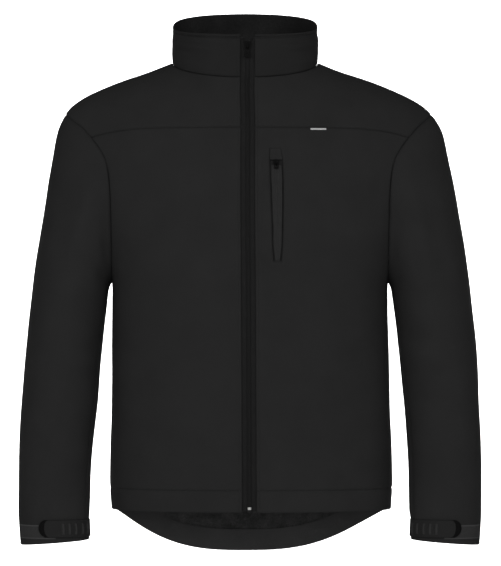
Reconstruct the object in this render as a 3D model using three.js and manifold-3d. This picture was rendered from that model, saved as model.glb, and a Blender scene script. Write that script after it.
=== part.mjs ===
// Softshell jacket, standing in its worn shape with nobody inside.
// Millimetres, +Z up, the front faces -Y, +X is the wearer's left.
// Z = 0 is the height of the neck seam on the shoulders, where the jacket is held.
import * as THREE from "three";
import { mergeVertices } from "three/addons/utils/BufferGeometryUtils.js";
import Module from "manifold-3d";

const kernel = await Module();
kernel.setup();

// Cloth and seams
const WALL = 2;
const GAP = 0.3;
const HALF_GAP = GAP / 2;
const COLLAR_WALL = 1.6;
const LINING_WALL = 1.2;
const FACING_WALL = 1.2;

// Main heights and sizes
const HEM_Z = -690;
const UNDERARM_Z = -343.5;
const SHOULDER_Z = -79;
const FACING_HIGH = 33;
const NECK_HALF = 112.5;
const NECK_DROP_FRONT = 25.8;
const NECK_DROP_BACK = 12;
const RIDGE_RISE = 45;
const FRONT_KNEE = -200;
const BACK_KNEE = -230;
const TAIL_DROP = 72;
const SQUARE = 2.3;

// Front zip
const ZIP_HALF = 11.25;
const CHAIN_HALF = 3;
const TAPE_REACH = 16;
const TAPE_DEPTH = 3;

// Chest pocket
const WINDOW_TOP = -136;
const WINDOW_LOW = -308;
const GARAGE_LOW = -149.4;
const POCKET_DEPTH = 2.9;

// Body sections by height: half width, depth forward and depth back at the middle
const BODY = [
  { z: -770, half: 213, front: 120, back: 116 },
  { z: -690, half: 213, front: 120, back: 117 },
  { z: -646, half: 215.5, front: 120, back: 117 },
  { z: -520, half: 213.5, front: 119, back: 113 },
  { z: -420, half: 212.5, front: 122, back: 116 },
  { z: -343.5, half: 213.5, front: 125, back: 121 },
  { z: -320, half: 219, front: 124.5, back: 122 },
  { z: -290, half: 227, front: 123.5, back: 123 },
  { z: -239, half: 243, front: 121.5, back: 124 },
  { z: -170, half: 262, front: 117, back: 123 },
  { z: -100, half: 290, front: 112, back: 118 },
  { z: -40, half: 318, front: 107.5, back: 113 },
  { z: 40, half: 350, front: 104, back: 110 },
];

// Shoulder line from the neck to the armhole
const SHOULDER = [
  { x: 112.5, z: 0 },
  { x: 145, z: -13 },
  { x: 202, z: -32.5 },
  { x: 245, z: -51 },
  { x: 270, z: -66 },
  { x: 283.5, z: -79 },
];

// Armhole seam seen from the front
const ARMHOLE = [
  { z: -343.5, x: 213.5 },
  { z: -290, x: 213.2 },
  { z: -240, x: 213.5 },
  { z: -205, x: 214.5 },
  { z: -172, x: 217.5 },
  { z: -151, x: 222.5 },
  { z: -140, x: 228 },
  { z: -127, x: 236.5 },
  { z: -115, x: 246.5 },
  { z: -102, x: 258 },
  { z: -90, x: 272 },
  { z: -79, x: 283.5 },
];

// Yoke seam across the chest
const YOKE = [
  { x: 0, z: -103.3 },
  { x: 100, z: -103.5 },
  { x: 160, z: -104.5 },
  { x: 200, z: -108 },
  { x: 225, z: -112.5 },
  { x: 250, z: -119.5 },
];

// Middle of the front zip, before the lean of the shoulders
const ZIP = [
  { z: -690, x: -0.8 },
  { z: -400, x: -2.1 },
  { z: -110, x: -3.2 },
  { z: -60, x: 1.1 },
  { z: -26, x: 3.3 },
  { z: 45, x: 3.3 },
];

// Sideways lean of the shoulders and the collar
const LEAN = [
  { z: -110, x: 0 },
  { z: -88, x: -1.5 },
  { z: -70, x: -3.9 },
  { z: -51, x: -6.2 },
  { z: -32, x: -7.2 },
  { z: 80, x: -7 },
];

// Sleeve rings from the armhole to the cuff: inner and outer point, depths, middle, roundness, seam angle
const SLEEVE = [
  { k: 0, ix: 213.5, iz: -343.5, ox: 283.5, oz: -79, front: 70, back: 72, y: 0, round: 0, seam: 0 },
  { k: 1, ix: 216.5, iz: -347, ox: 299, oz: -112, front: 72, back: 75, y: 0, round: 0.2, seam: 0 },
  { k: 2, ix: 218.5, iz: -353, ox: 309, oz: -172, front: 75, back: 78, y: 0, round: 0.45, seam: 0 },
  { k: 3, ix: 220.5, iz: -365, ox: 319, oz: -236, front: 77, back: 80, y: 0, round: 0.72, seam: 0 },
  { k: 4, ix: 223.5, iz: -385, ox: 330, oz: -300, front: 77, back: 79, y: 0, round: 0.92, seam: 0 },
  { k: 5, ix: 227.5, iz: -415, ox: 338.5, oz: -364, front: 74, back: 77, y: -1, round: 1, seam: 0.03 },
  { k: 6, ix: 231.5, iz: -452, ox: 345.5, oz: -426, front: 71, back: 74, y: -3, round: 1, seam: 0.12 },
  { k: 7, ix: 236, iz: -497, ox: 350.5, oz: -486, front: 67, back: 70, y: -6, round: 1, seam: 0.26 },
  { k: 8, ix: 240, iz: -540, ox: 353.8, oz: -538, front: 62, back: 66, y: -10, round: 1, seam: 0.34 },
  { k: 9, ix: 244, iz: -590, ox: 356.3, oz: -592, front: 57, back: 61, y: -15, round: 1, seam: 0.36 },
  { k: 10, ix: 248, iz: -650, ox: 357.3, oz: -655, front: 50, back: 54, y: -21, round: 1, seam: 0.36 },
  { k: 11, ix: 249, iz: -695, ox: 356.8, oz: -701, front: 45, back: 49, y: -25, round: 1, seam: 0.36 },
  { k: 12, ix: 247.5, iz: -736, ox: 354, oz: -744, front: 42, back: 45, y: -28, round: 1, seam: 0.36 },
];

// Chest pocket window: left and right edge by height
const WINDOW = [
  { z: -308, left: 37.2, right: 47.6 },
  { z: -255, left: 34.2, right: 49.8 },
  { z: -210, left: 31.6, right: 51.4 },
  { z: -160, left: 29.8, right: 50.4 },
  { z: -136, left: 30.4, right: 46.6 },
];

// Colours and surfaces
const MATERIALS = {
  cloth: { color: 0x242424, roughness: 0.92, metalness: 0 },
  fleece: { color: 0x1b1b1b, roughness: 0.97, metalness: 0 },
  tape: { color: 0x1a1a1a, roughness: 0.9, metalness: 0 },
  teeth: { color: 0x161616, roughness: 0.5, metalness: 0 },
  slider: { color: 0x1c1c1c, roughness: 0.4, metalness: 0.4 },
  strap: { color: 0x2a2a2a, roughness: 0.85, metalness: 0 },
  loop: { color: 0x3a3a3a, roughness: 0.95, metalness: 0 },
  label: { color: 0xb0b0b0, roughness: 0.8, metalness: 0 },
};

// Value of a column at a place in a table, on a smooth curve through its rows
function along(rows, key, column, value) {
  const last = rows.length - 1;
  if (value <= rows[0][key]) return rows[0][column];
  if (value >= rows[last][key]) return rows[last][column];
  let i = 0;
  while (value > rows[i + 1][key]) i += 1;
  const slope = (n) => {
    const a = Math.max(n - 1, 0);
    const b = Math.min(n + 1, last);
    return (rows[b][column] - rows[a][column]) / (rows[b][key] - rows[a][key]);
  };
  const step = rows[i + 1][key] - rows[i][key];
  const t = (value - rows[i][key]) / step;
  const s = t * t * (3 - 2 * t);
  const lift = t * (1 - t) * ((1 - t) * slope(i) - t * slope(i + 1)) * step;
  return rows[i][column] + (rows[i + 1][column] - rows[i][column]) * s + lift;
}

const mix = (a, b, t) => a + (b - a) * t;
const armholeX = (z) => along(ARMHOLE, "z", "x", z);
const zipX = (z) => along(ZIP, "z", "x", z);
const yokeZ = (x) => along(YOKE, "x", "z", Math.abs(x));
const kneeOf = (face) => (face < 0 ? FRONT_KNEE : BACK_KNEE);

// Height of the shoulder line, carried on over the neck opening
function ridge(x) {
  const a = Math.abs(x);
  if (a >= NECK_HALF) return along(SHOULDER, "x", "z", a);
  const c = 1 - (a / NECK_HALF) ** 2;
  return (RIDGE_RISE / 2) * (c + c * c);
}

// Depth of the body's level section, without the rounding of the shoulder
function fullDepth(face, x, z) {
  const across = Math.min(Math.abs(x) / along(BODY, "z", "half", z), 1);
  return along(BODY, "z", face < 0 ? "front" : "back", z) * (1 - across ** SQUARE) ** (1 / SQUARE);
}

// Shoulder angle of a height (0 where the rounding starts, a quarter turn on the shoulder line)
function angleOf(face, x, z) {
  const part = (z - kneeOf(face)) / (ridge(x) - kneeOf(face));
  return part > 0 ? Math.asin(Math.min(part, 1)) : part;
}

function heightOf(face, x, angle) {
  const knee = kneeOf(face);
  return knee + (ridge(x) - knee) * (angle > 0 ? Math.sin(angle) : angle);
}

// Point on the body's outer face
function bodyPoint(face, x, angle) {
  const z = heightOf(face, x, angle);
  const y = face * fullDepth(face, x, z) * (angle > 0 ? Math.cos(angle) : 1);
  return new THREE.Vector3(x, y, z);
}

const bodyAt = (face, x, z) => bodyPoint(face, x, angleOf(face, x, z));

// Shoulder angle that stops half a seam gap short of the shoulder line
function ridgeAngle(face, x) {
  return Math.acos(HALF_GAP / fullDepth(face, x, ridge(x)));
}

// Angle round a level section for a part of its half width, and back
function turnOf(part) {
  const p = Math.min(part, 1);
  return Math.atan2(p, (1 - p ** SQUARE) ** (1 / SQUARE));
}

function partsOf(turn) {
  const s = Math.sin(turn);
  const c = Math.cos(turn);
  const size = (s ** SQUARE + c ** SQUARE) ** (1 / SQUARE);
  return { across: s / size, deep: c / size };
}

// Places along a curve at even distances
function evenly(curve, place, count) {
  const fine = 240;
  const marks = [];
  let run = 0;
  let before = null;
  for (let i = 0; i <= fine; i += 1) {
    const item = curve(i / fine);
    const point = place(item);
    if (before) run += point.distanceTo(before);
    before = point;
    marks.push({ item, run });
  }
  const list = [];
  let k = 0;
  for (let j = 0; j <= count; j += 1) {
    const want = (run * j) / count;
    while (k < fine - 1 && marks[k + 1].run < want) k += 1;
    const t = (want - marks[k].run) / (marks[k + 1].run - marks[k].run);
    const item = {};
    Object.keys(marks[k].item).forEach((key) => {
      item[key] = mix(marks[k].item[key], marks[k + 1].item[key], t);
    });
    list.push(item);
  }
  return list;
}

// Four-sided patch between its edges, in places along and up the body
function fill(low, top, left, right) {
  const n = low.length - 1;
  const m = left.length - 1;
  return left.map((start, j) => low.map((base, i) => {
    const u = i / n;
    const v = j / m;
    const value = (key) => mix(base[key], top[i][key], v) + mix(start[key], right[j][key], u)
      - mix(mix(low[0][key], low[n][key], u), mix(top[0][key], top[n][key], u), v);
    return { x: value("x"), angle: value("angle") };
  }));
}

// Outward directions of a grid of points, turned away from a point in the hollow
function directions(rows, heart) {
  const m = rows.length - 1;
  const n = rows[0].length - 1;
  const slope = (get, k, last) => {
    if (last < 2) return get(last).clone().sub(get(0));
    if (k === 0) return get(0).clone().multiplyScalar(-3).addScaledVector(get(1), 4).sub(get(2));
    if (k === last) {
      return get(last).clone().multiplyScalar(3).addScaledVector(get(last - 1), -4).add(get(last - 2));
    }
    return get(k + 1).clone().sub(get(k - 1));
  };
  const list = rows.map((row, j) => row.map((_, i) => {
    const across = slope((k) => rows[j][k], i, n);
    const up = slope((k) => rows[k][i], j, m);
    const way = across.cross(up);
    if (Math.abs(rows[j][i].y) < GAP) way.y = 0;
    return way.normalize();
  }));
  const middle = rows[m >> 1][n >> 1];
  if (list[m >> 1][n >> 1].dot(middle.clone().sub(heart)) < 0) {
    list.forEach((row) => row.forEach((d) => d.negate()));
  }
  return list;
}

const shifted = (rows, ways, far) => rows.map((row, j) => row.map((p, i) => (
  p.clone().addScaledVector(ways[j][i], typeof far === "function" ? far(i, j) : far))));

// One closed wall from a grid of outer points, its thickness going inward
function wallOf(rows, thick, heart, kept = () => true) {
  const ways = directions(rows, heart);
  const inner = shifted(rows, ways, (i, j) => -(typeof thick === "function" ? thick(i, j) : thick));
  const m = rows.length - 1;
  const n = rows[0].length - 1;
  const points = [...rows.flat(), ...inner.flat()];
  const far = (m + 1) * (n + 1);
  const at = (i, j) => j * (n + 1) + i;
  const faces = [];
  const quad = (a, b, c, d) => faces.push(a, b, c, a, c, d);
  const has = (i, j) => i >= 0 && j >= 0 && i < n && j < m && kept(i, j);
  for (let j = 0; j < m; j += 1) {
    for (let i = 0; i < n; i += 1) {
      if (!has(i, j)) continue;
      const a = at(i, j);
      const b = at(i + 1, j);
      const c = at(i + 1, j + 1);
      const d = at(i, j + 1);
      quad(a, b, c, d);
      quad(far + d, far + c, far + b, far + a);
      if (!has(i, j - 1)) quad(b, a, far + a, far + b);
      if (!has(i + 1, j)) quad(c, b, far + b, far + c);
      if (!has(i, j + 1)) quad(d, c, far + c, far + d);
      if (!has(i - 1, j)) quad(a, d, far + d, far + a);
    }
  }
  return closed(points, faces);
}

// Faces of a closed body, turned so that they look out
function closed(points, faces) {
  let volume = 0;
  for (let f = 0; f < faces.length; f += 3) {
    const [a, b, c] = [points[faces[f]], points[faces[f + 1]], points[faces[f + 2]]];
    volume += a.dot(b.clone().cross(c));
  }
  const index = volume < 0 ? faces.slice().reverse() : faces;
  const geometry = new THREE.BufferGeometry();
  geometry.setAttribute("position", new THREE.Float32BufferAttribute(points.flatMap((p) => p.toArray()), 3));
  geometry.setIndex(index);
  return geometry;
}

const jacket = new THREE.Group();
jacket.name = "softshell_jacket";

function add(name, geometry, look) {
  const spots = geometry.getAttribute("position");
  for (let i = 0; i < spots.count; i += 1) {
    spots.setX(i, spots.getX(i) + along(LEAN, "z", "x", spots.getZ(i)));
  }
  geometry.computeVertexNormals();
  const mesh = new THREE.Mesh(geometry, new THREE.MeshStandardMaterial(MATERIALS[look]));
  mesh.name = name;
  jacket.add(mesh);
}

const mirrored = (p, side) => new THREE.Vector3(side * p.x, p.y, p.z);
const bodyHeart = new THREE.Vector3(0, 0, -250);
const zipEdge = (side, z) => side * zipX(z) + ZIP_HALF;

// Front under the yoke seam: level rows, bent towards the yoke seam at the top
function frontGrid(side) {
  const topLevel = yokeZ(40) - HALF_GAP;
  const levels = [HEM_Z, -657, -606, -552, -498, -446, -394, UNDERARM_Z, -332, WINDOW_LOW,
    -262, -216, -184, -157, WINDOW_TOP, topLevel];
  const heightAt = (level, x) => {
    const part = Math.max(0, (level - UNDERARM_Z) / (topLevel - UNDERARM_Z));
    return level + (yokeZ(x) - yokeZ(40)) * part ** 3;
  };
  const sideCells = 10;
  return levels.map((level) => {
    const half = (z) => along(BODY, "z", "half", z);
    const stopTurn = Math.PI / 2 - HALF_GAP / along(BODY, "z", "front", level);
    let endZ = level;
    let end = stopTurn;
    for (let n = 0; n < 6 && level > UNDERARM_Z; n += 1) {
      end = Math.min(stopTurn, turnOf(armholeX(endZ) / half(endZ)));
      endZ = heightAt(level, armholeX(endZ));
    }
    const start = turnOf(zipEdge(side, level) / half(level));
    const left = turnOf(along(WINDOW, "z", "left", level) / half(level));
    const right = turnOf(along(WINDOW, "z", "right", level) / half(level));
    const stops = [start, left, right];
    for (let i = 1; i <= sideCells; i += 1) stops.push(mix(right, end, i / sideCells));
    return stops.map((turn) => {
      const { across, deep } = partsOf(turn);
      let z = level;
      let x = across * half(z);
      for (let n = 0; n < 5; n += 1) {
        z = heightAt(level, x);
        x = across * half(z);
      }
      const angle = angleOf(-1, x, z);
      const y = -along(BODY, "z", "front", z) * deep * (angle > 0 ? Math.cos(angle) : 1);
      return mirrored(new THREE.Vector3(x, y, z), side);
    });
  });
}

const windowCell = (i, j) => !(i === 1 && j >= 9 && j < 14);
const frontRows = frontGrid(1);
add("front_left", wallOf(frontRows, WALL, bodyHeart, windowCell), "cloth");
add("front_right", wallOf(frontGrid(-1), WALL, bodyHeart), "cloth");

// Neck seam: its height by the place across, and its places from the zip to the shoulder
const neckDrop = (face, x) => (face < 0 ? NECK_DROP_FRONT : NECK_DROP_BACK)
  * Math.sqrt(Math.max(0, 1 - (x / NECK_HALF) ** 2));

function neckPlace(face, x, under) {
  const angle = angleOf(face, x, -neckDrop(face, x) - under);
  return { x, angle: Math.min(angle, ridgeAngle(face, x)) };
}

function armholePlace(face, z) {
  const x = armholeX(z);
  return { x, angle: Math.min(angleOf(face, x, z), ridgeAngle(face, x)) };
}

// Front yoke: from the yoke seam to the neck seam and the shoulder line
function yokeGrid(side) {
  const place = (item) => bodyPoint(-1, item.x, item.angle);
  const lowZ = -119;
  const lowX = armholeX(yokeZ(armholeX(lowZ)) + HALF_GAP);
  const startX = zipEdge(side, yokeZ(0));
  const topX = zipEdge(side, -26);
  const low = evenly((t) => {
    const x = mix(startX, lowX, t);
    return { x, angle: angleOf(-1, x, yokeZ(x) + HALF_GAP) };
  }, place, 11);
  const top = evenly((t) => {
    const x = mix(NECK_HALF, 283.5, t);
    return { x, angle: ridgeAngle(-1, x) };
  }, place, 11);
  const lowEnd = yokeZ(lowX) + HALF_GAP;
  const right = evenly((t) => armholePlace(-1, mix(lowEnd, SHOULDER_Z, 1 - (1 - t) ** 2)), place, 6);
  const zipUp = evenly((t) => {
    const z = mix(yokeZ(0) + HALF_GAP, -neckDrop(-1, topX) - HALF_GAP, t);
    const x = zipEdge(side, z);
    return { x, angle: angleOf(-1, x, z) };
  }, place, 2);
  const neck = evenly((t) => {
    const x = mix(topX, NECK_HALF, Math.sin((t * Math.PI) / 2));
    return neckPlace(-1, x, HALF_GAP);
  }, place, 4);
  const left = [...zipUp.slice(0, -1), ...neck];
  low[11] = right[0];
  low[0] = left[0];
  left[6] = top[0];
  right[6] = top[11];
  return fill(low, top, left, right).map((row) => row.map((item) => mirrored(place(item), side)));
}

const yokeRows = yokeGrid(1);
add("yoke_left", wallOf(yokeRows, WALL, bodyHeart), "cloth");
add("yoke_right", wallOf(yokeGrid(-1), WALL, bodyHeart), "cloth");

// Drop of the back hem below the front hem, by the part of the half width
const tailDrop = (part) => TAIL_DROP * (1 - Math.min(part, 1) ** 2.8) ** 1.12;

// Back: level rows from the tail to the shoulder blades, then a patch up to the neck and the shoulder lines
function backGrid() {
  const half = 15;
  const shoulderCells = 6;
  const place = (item) => bodyPoint(1, item.x, item.angle);
  const rowAt = (heightAt, endOf) => {
    const row = [];
    for (let i = -half; i <= half; i += 1) {
      const { across } = partsOf((Math.abs(i) / half) * (Math.PI / 2));
      const z = heightAt(across);
      const turn = (Math.abs(i) / half) * endOf(z);
      const parts = partsOf(turn);
      const x = parts.across * along(BODY, "z", "half", z);
      const angle = angleOf(1, x, z);
      const y = along(BODY, "z", "back", z) * parts.deep * (angle > 0 ? Math.cos(angle) : 1);
      row.push({ x: Math.sign(i) * x, y, z, angle });
    }
    return row;
  };
  const stop = (z) => Math.PI / 2 - HALF_GAP / along(BODY, "z", "back", z);
  const endOf = (z) => (z <= UNDERARM_Z ? stop(z)
    : Math.min(stop(z), turnOf(armholeX(z) / along(BODY, "z", "half", z))));
  const levels = [HEM_Z, -657, -606, -552, -498, -446, -394, UNDERARM_Z, -332, -308, -262, -216, -170];
  const rows = levels.map((level, j) => {
    const share = Math.max(0, 1 - j / 5) ** 1.5;
    return rowAt((part) => level - tailDrop(part) * share, endOf);
  });
  const low = rows[rows.length - 1];
  const shoulder = evenly((t) => {
    const x = mix(283.5, NECK_HALF, t);
    return { x, angle: ridgeAngle(1, x) };
  }, place, shoulderCells);
  const neck = evenly((t) => {
    const x = NECK_HALF * Math.cos((t * Math.PI) / 2);
    return neckPlace(1, x, HALF_GAP);
  }, place, half - shoulderCells);
  neck[0] = shoulder[shoulderCells];
  const oneSide = [...shoulder.slice(0, -1), ...neck];
  const flip = (item) => ({ x: -item.x, angle: item.angle });
  const top = [...oneSide.map(flip), ...oneSide.slice(0, -1).reverse()];
  const right = evenly((t) => armholePlace(1, mix(-170, SHOULDER_Z, 1 - (1 - t) ** 2)), place, 6);
  right[0] = { x: low[2 * half].x, angle: low[2 * half].angle };
  right[6] = top[2 * half];
  const patch = fill(low, top, right.map(flip), right).map((row) => row.map(place));
  return [...rows.map((row) => row.map((p) => new THREE.Vector3(p.x, p.y, p.z))), ...patch.slice(1)];
}

const backRows = backGrid();
add("back", wallOf(backRows, WALL, bodyHeart), "cloth");

// Turned-up hem inside the back: the back's own lowest points moved in
const backWays = directions(backRows, bodyHeart);
const facingLow = shifted(backRows, backWays, -(WALL + GAP))[0].slice(1, -1);
const facingRows = [0, 0.5, 1].map((t) => facingLow.map((p, i) => {
  const up = p.z + 0.5 + t * FACING_HIGH;
  const reach = facingLow.length - 1;
  const x = p.x;
  const spot = bodyAt(1, x, up);
  const flat = new THREE.Vector3(spot.x, spot.y, 0).normalize();
  const edge = Math.min(i, reach - i) < 1 ? 1.5 : 0;
  return spot.addScaledVector(flat, -(WALL + GAP + 0.4 + edge));
}));
add("tail_facing", wallOf(facingRows, FACING_WALL, bodyHeart), "fleece");

// Collar: neck seam and rim as lists of matching points
const COLLAR_FRONT = 9;
const COLLAR_BACK = 18;

function neckLine() {
  const place = (item) => bodyPoint(item.face, item.x, item.angle);
  const quarter = (face, from, count) => evenly((t) => {
    const x = mix(from, NECK_HALF, Math.sin((t * Math.PI) / 2));
    const { angle } = neckPlace(face, x, 0);
    return { x, angle, face };
  }, place, count).map(place);
  const backHalf = quarter(1, 0, COLLAR_BACK / 2);
  const right = quarter(-1, zipEdge(1, 0), COLLAR_FRONT);
  const left = quarter(-1, zipEdge(-1, 0), COLLAR_FRONT).map((p) => mirrored(p, -1));
  const behind = [...backHalf.slice(0, -1).reverse(), ...backHalf.slice(1, -1).map((p) => mirrored(p, -1))];
  const sidePoint = new THREE.Vector3(NECK_HALF, 0, 0);
  return [...right.slice(0, -1), sidePoint, ...behind, mirrored(sidePoint, -1), ...left.slice(0, -1).reverse()];
}

function rimPoint(turn) {
  const c = Math.cos(turn);
  const y = c > 0 ? -76 * c : -61 * c;
  return new THREE.Vector3(112 * Math.sin(turn), y, 55 - 20.3 * c + 5 * c * c);
}

function rimLine() {
  const start = Math.asin(zipEdge(1, 0) / 112);
  const end = Math.asin(zipEdge(-1, 0) / 112);
  const turns = [];
  for (let i = 0; i < COLLAR_FRONT; i += 1) turns.push(mix(start, Math.PI / 2, i / COLLAR_FRONT));
  for (let i = 0; i < COLLAR_BACK; i += 1) turns.push(Math.PI * (0.5 + i / COLLAR_BACK));
  for (let i = 0; i <= COLLAR_FRONT; i += 1) {
    turns.push(mix(Math.PI * 1.5, 2 * Math.PI - end, i / COLLAR_FRONT));
  }
  return turns.map(rimPoint);
}

const neckPoints = neckLine();
const rimPoints = rimLine();
const collarHeart = new THREE.Vector3(0, 0, 20);
const collarGrid = (high, setBack) => [0, 0.2, 0.45, 0.72, 1].map((t) => {
  const h = t * high;
  const row = neckPoints.map((p, i) => {
    const base = p.clone().setZ(p.z + 0.4);
    const spot = base.lerp(rimPoints[i], h);
    const out = new THREE.Vector3(spot.x, spot.y, 0).normalize();
    return spot.addScaledVector(out, 1.6 * Math.sin(Math.PI * h));
  });
  const last = row.length - 1;
  row[0].lerp(row[1], setBack);
  row[last].lerp(row[last - 1], setBack);
  return row;
});
const collarRows = collarGrid(1, 0);
add("collar", wallOf(collarRows, COLLAR_WALL, collarHeart), "cloth");
const liningRows = collarGrid(0.97, 0.5);
const liningOuter = shifted(liningRows, directions(liningRows, collarHeart), -(COLLAR_WALL + GAP));
add("collar_lining", wallOf(liningOuter, LINING_WALL, collarHeart), "fleece");

// Line of the zip from the hem to the rim, on the outer face of the cloth
const ZIP_TOP = 36;
function zipLine(low, high, step) {
  const neckZ = -neckDrop(-1, 3.3);
  const neckY = bodyAt(-1, 3.3, neckZ).y;
  const turnZ = Math.min(Math.max(neckZ, low), high);
  const stops = [low];
  [[low, turnZ], [turnZ, high]].forEach(([from, to]) => {
    const count = Math.round((to - from) / step);
    for (let i = 1; i <= count; i += 1) stops.push(mix(from, to, i / count));
  });
  return stops.map((z) => {
    const y = z < neckZ ? bodyAt(-1, 0, z).y : mix(neckY, -76, (z - neckZ) / (39.7 - neckZ));
    return new THREE.Vector3(zipX(z), y, z);
  });
}

// Strip along the zip between two distances from its middle, at a depth behind the cloth's face
function strip(line, near, far, depth, thick) {
  const rows = line.map((p, j) => {
    const a = line[Math.max(j - 1, 0)];
    const b = line[Math.min(j + 1, line.length - 1)];
    const up = b.clone().sub(a).normalize();
    const back = new THREE.Vector3(0, up.z, -up.y).normalize();
    const row = [];
    [near, far].forEach((x) => row.push(p.clone().setX(p.x + x).addScaledVector(back, depth)));
    return row;
  });
  return wallOf(rows, thick, new THREE.Vector3(0, 200, -250));
}

const tapeLine = zipLine(-687, ZIP_TOP, 18);
add("zip_tape_left", strip(tapeLine, CHAIN_HALF + GAP, TAPE_REACH, TAPE_DEPTH, 0.8), "tape");
add("zip_tape_right", strip(tapeLine, -CHAIN_HALF - GAP, -TAPE_REACH, TAPE_DEPTH, 0.8), "tape");
const chainLine = zipLine(-680.2, 21, 18);
add("zip_chain", strip(chainLine, -CHAIN_HALF, CHAIN_HALF, 0.6, 2.9), "teeth");

// Geometry as a solid that can be joined, and back
function solid(geometry) {
  const bare = geometry.clone();
  bare.deleteAttribute("normal");
  bare.deleteAttribute("uv");
  const merged = mergeVertices(bare, 1e-4);
  const mesh = new kernel.Mesh({
    numProp: 3,
    vertProperties: new Float32Array(merged.getAttribute("position").array),
    triVerts: new Uint32Array(merged.getIndex().array),
  });
  return new kernel.Manifold(mesh);
}

function joined(list) {
  const mesh = list.slice(1).reduce((sum, item) => sum.add(solid(item)), solid(list[0])).getMesh();
  const geometry = new THREE.BufferGeometry();
  geometry.setAttribute("position", new THREE.Float32BufferAttribute(mesh.vertProperties, 3));
  geometry.setIndex(Array.from(mesh.triVerts));
  return geometry;
}

// Flat plate with rounded corners, its face in X and Z, from one Y to another
function plate(halfX, lowZ, highZ, corner, fromY, toY, topHalfX = halfX) {
  const shape = new THREE.Shape();
  shape.moveTo(-halfX + corner, lowZ);
  shape.lineTo(halfX - corner, lowZ);
  shape.quadraticCurveTo(halfX, lowZ, halfX, lowZ + corner);
  shape.lineTo(topHalfX, highZ - corner);
  shape.quadraticCurveTo(topHalfX, highZ, topHalfX - corner, highZ);
  shape.lineTo(-topHalfX + corner, highZ);
  shape.quadraticCurveTo(-topHalfX, highZ, -topHalfX, highZ - corner);
  shape.lineTo(-halfX, lowZ + corner);
  shape.quadraticCurveTo(-halfX, lowZ, -halfX + corner, lowZ);
  return thickened(shape, fromY, toY);
}

function thickened(shape, fromY, toY) {
  const geometry = new THREE.ExtrudeGeometry(shape, { depth: toY - fromY, bevelEnabled: false, curveSegments: 4 });
  geometry.rotateX(Math.PI / 2);
  geometry.translate(0, toY, 0);
  return geometry;
}

// Arch over the front plate that carries the pull, seen from the side
function bridge(halfX, plateY, low, high, tall, bar) {
  const shape = new THREE.Shape();
  shape.moveTo(-plateY - 0.4, low);
  shape.lineTo(-plateY + tall - 1, low);
  shape.quadraticCurveTo(-plateY + tall, low, -plateY + tall, low + 1);
  shape.lineTo(-plateY + tall, high - 1);
  shape.quadraticCurveTo(-plateY + tall, high, -plateY + tall - 1, high);
  shape.lineTo(-plateY - 0.4, high);
  shape.closePath();
  const hole = new THREE.Path();
  hole.moveTo(-plateY, low + bar);
  hole.lineTo(-plateY, high - bar);
  hole.lineTo(-plateY + tall - bar, high - bar);
  hole.lineTo(-plateY + tall - bar, low + bar);
  hole.closePath();
  shape.holes.push(hole);
  const geometry = new THREE.ExtrudeGeometry(shape, { depth: 2 * halfX, bevelEnabled: false, curveSegments: 4 });
  geometry.translate(0, 0, -halfX);
  const turn = new THREE.Matrix4().set(0, 0, -1, 0, -1, 0, 0, 0, 0, 1, 0, 0, 0, 0, 0, 1);
  geometry.applyMatrix4(turn);
  return geometry;
}

// Pull: a tapering frame whose top bar runs under the arch
function pull(topHalf, lowHalf, long, window, edge, side) {
  const shape = new THREE.Shape();
  shape.moveTo(-topHalf, 0.6);
  shape.lineTo(-lowHalf, edge - long);
  shape.quadraticCurveTo(-lowHalf, -long, edge - lowHalf, -long);
  shape.lineTo(lowHalf - edge, -long);
  shape.quadraticCurveTo(lowHalf, -long, lowHalf, edge - long);
  shape.lineTo(topHalf, 0.6);
  shape.closePath();
  const reach = mix(topHalf, lowHalf, window / long) - side;
  const hole = new THREE.Path();
  hole.moveTo(side - topHalf, -0.6);
  hole.lineTo(topHalf - side, -0.6);
  hole.lineTo(reach, -window);
  hole.lineTo(-reach, -window);
  hole.closePath();
  shape.holes.push(hole);
  return thickened(shape, -0.6, 0.6);
}

// Front zip's slider and pull, level with the collar's face at the zip
const SLIDER_Z = 23.3;
const sliderSpot = zipLine(SLIDER_Z, SLIDER_Z + 4, 2)[0];
const sliderParts = [
  plate(4.6, -5.6, 5.6, 1.6, -1.5, 0.3, 5.6),
  plate(4.6, -5.6, 5.6, 1.6, 4.2, 5.6, 5.6),
  plate(1.1, 0.4, 5.2, 0.4, 0, 4.6),
  bridge(0.9, -1.5, -4.2, 3.4, 3.6, 1.2),
];
const sliderBody = joined(sliderParts);
sliderBody.translate(sliderSpot.x, sliderSpot.y, sliderSpot.z);
add("zip_slider", sliderBody, "slider");
const pullBody = pull(3.2, 5.6, 17, 12.4, 1.2, 1.4);
pullBody.translate(sliderSpot.x, sliderSpot.y - 2.7, sliderSpot.z - 2.1);
add("zip_pull", pullBody, "slider");
const boxBody = plate(2.8, -690, -680.6, 0.8, 0.2, 4.4);
const boxSpot = zipLine(-690, -680, 5)[0];
boxBody.translate(boxSpot.x, boxSpot.y, 0);
add("zip_box", boxBody, "teeth");

// Chest pocket, in the window of the left front
const windowMiddle = (z) => (along(WINDOW, "z", "left", z) + along(WINDOW, "z", "right", z)) / 2;
const pocketLevels = [-312, -290, -266, -244, -222, -200, -179, -168, -158, -147, -138, -131];

function pocketStrip(levels, from, to, depth, thick) {
  const rows = levels.map((z) => [0, 0.5, 1].map((t) => bodyAt(-1, mix(from(z), to(z), t), z)));
  return wallOf(shifted(rows, directions(rows, bodyHeart), -depth), thick, bodyHeart);
}

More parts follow.
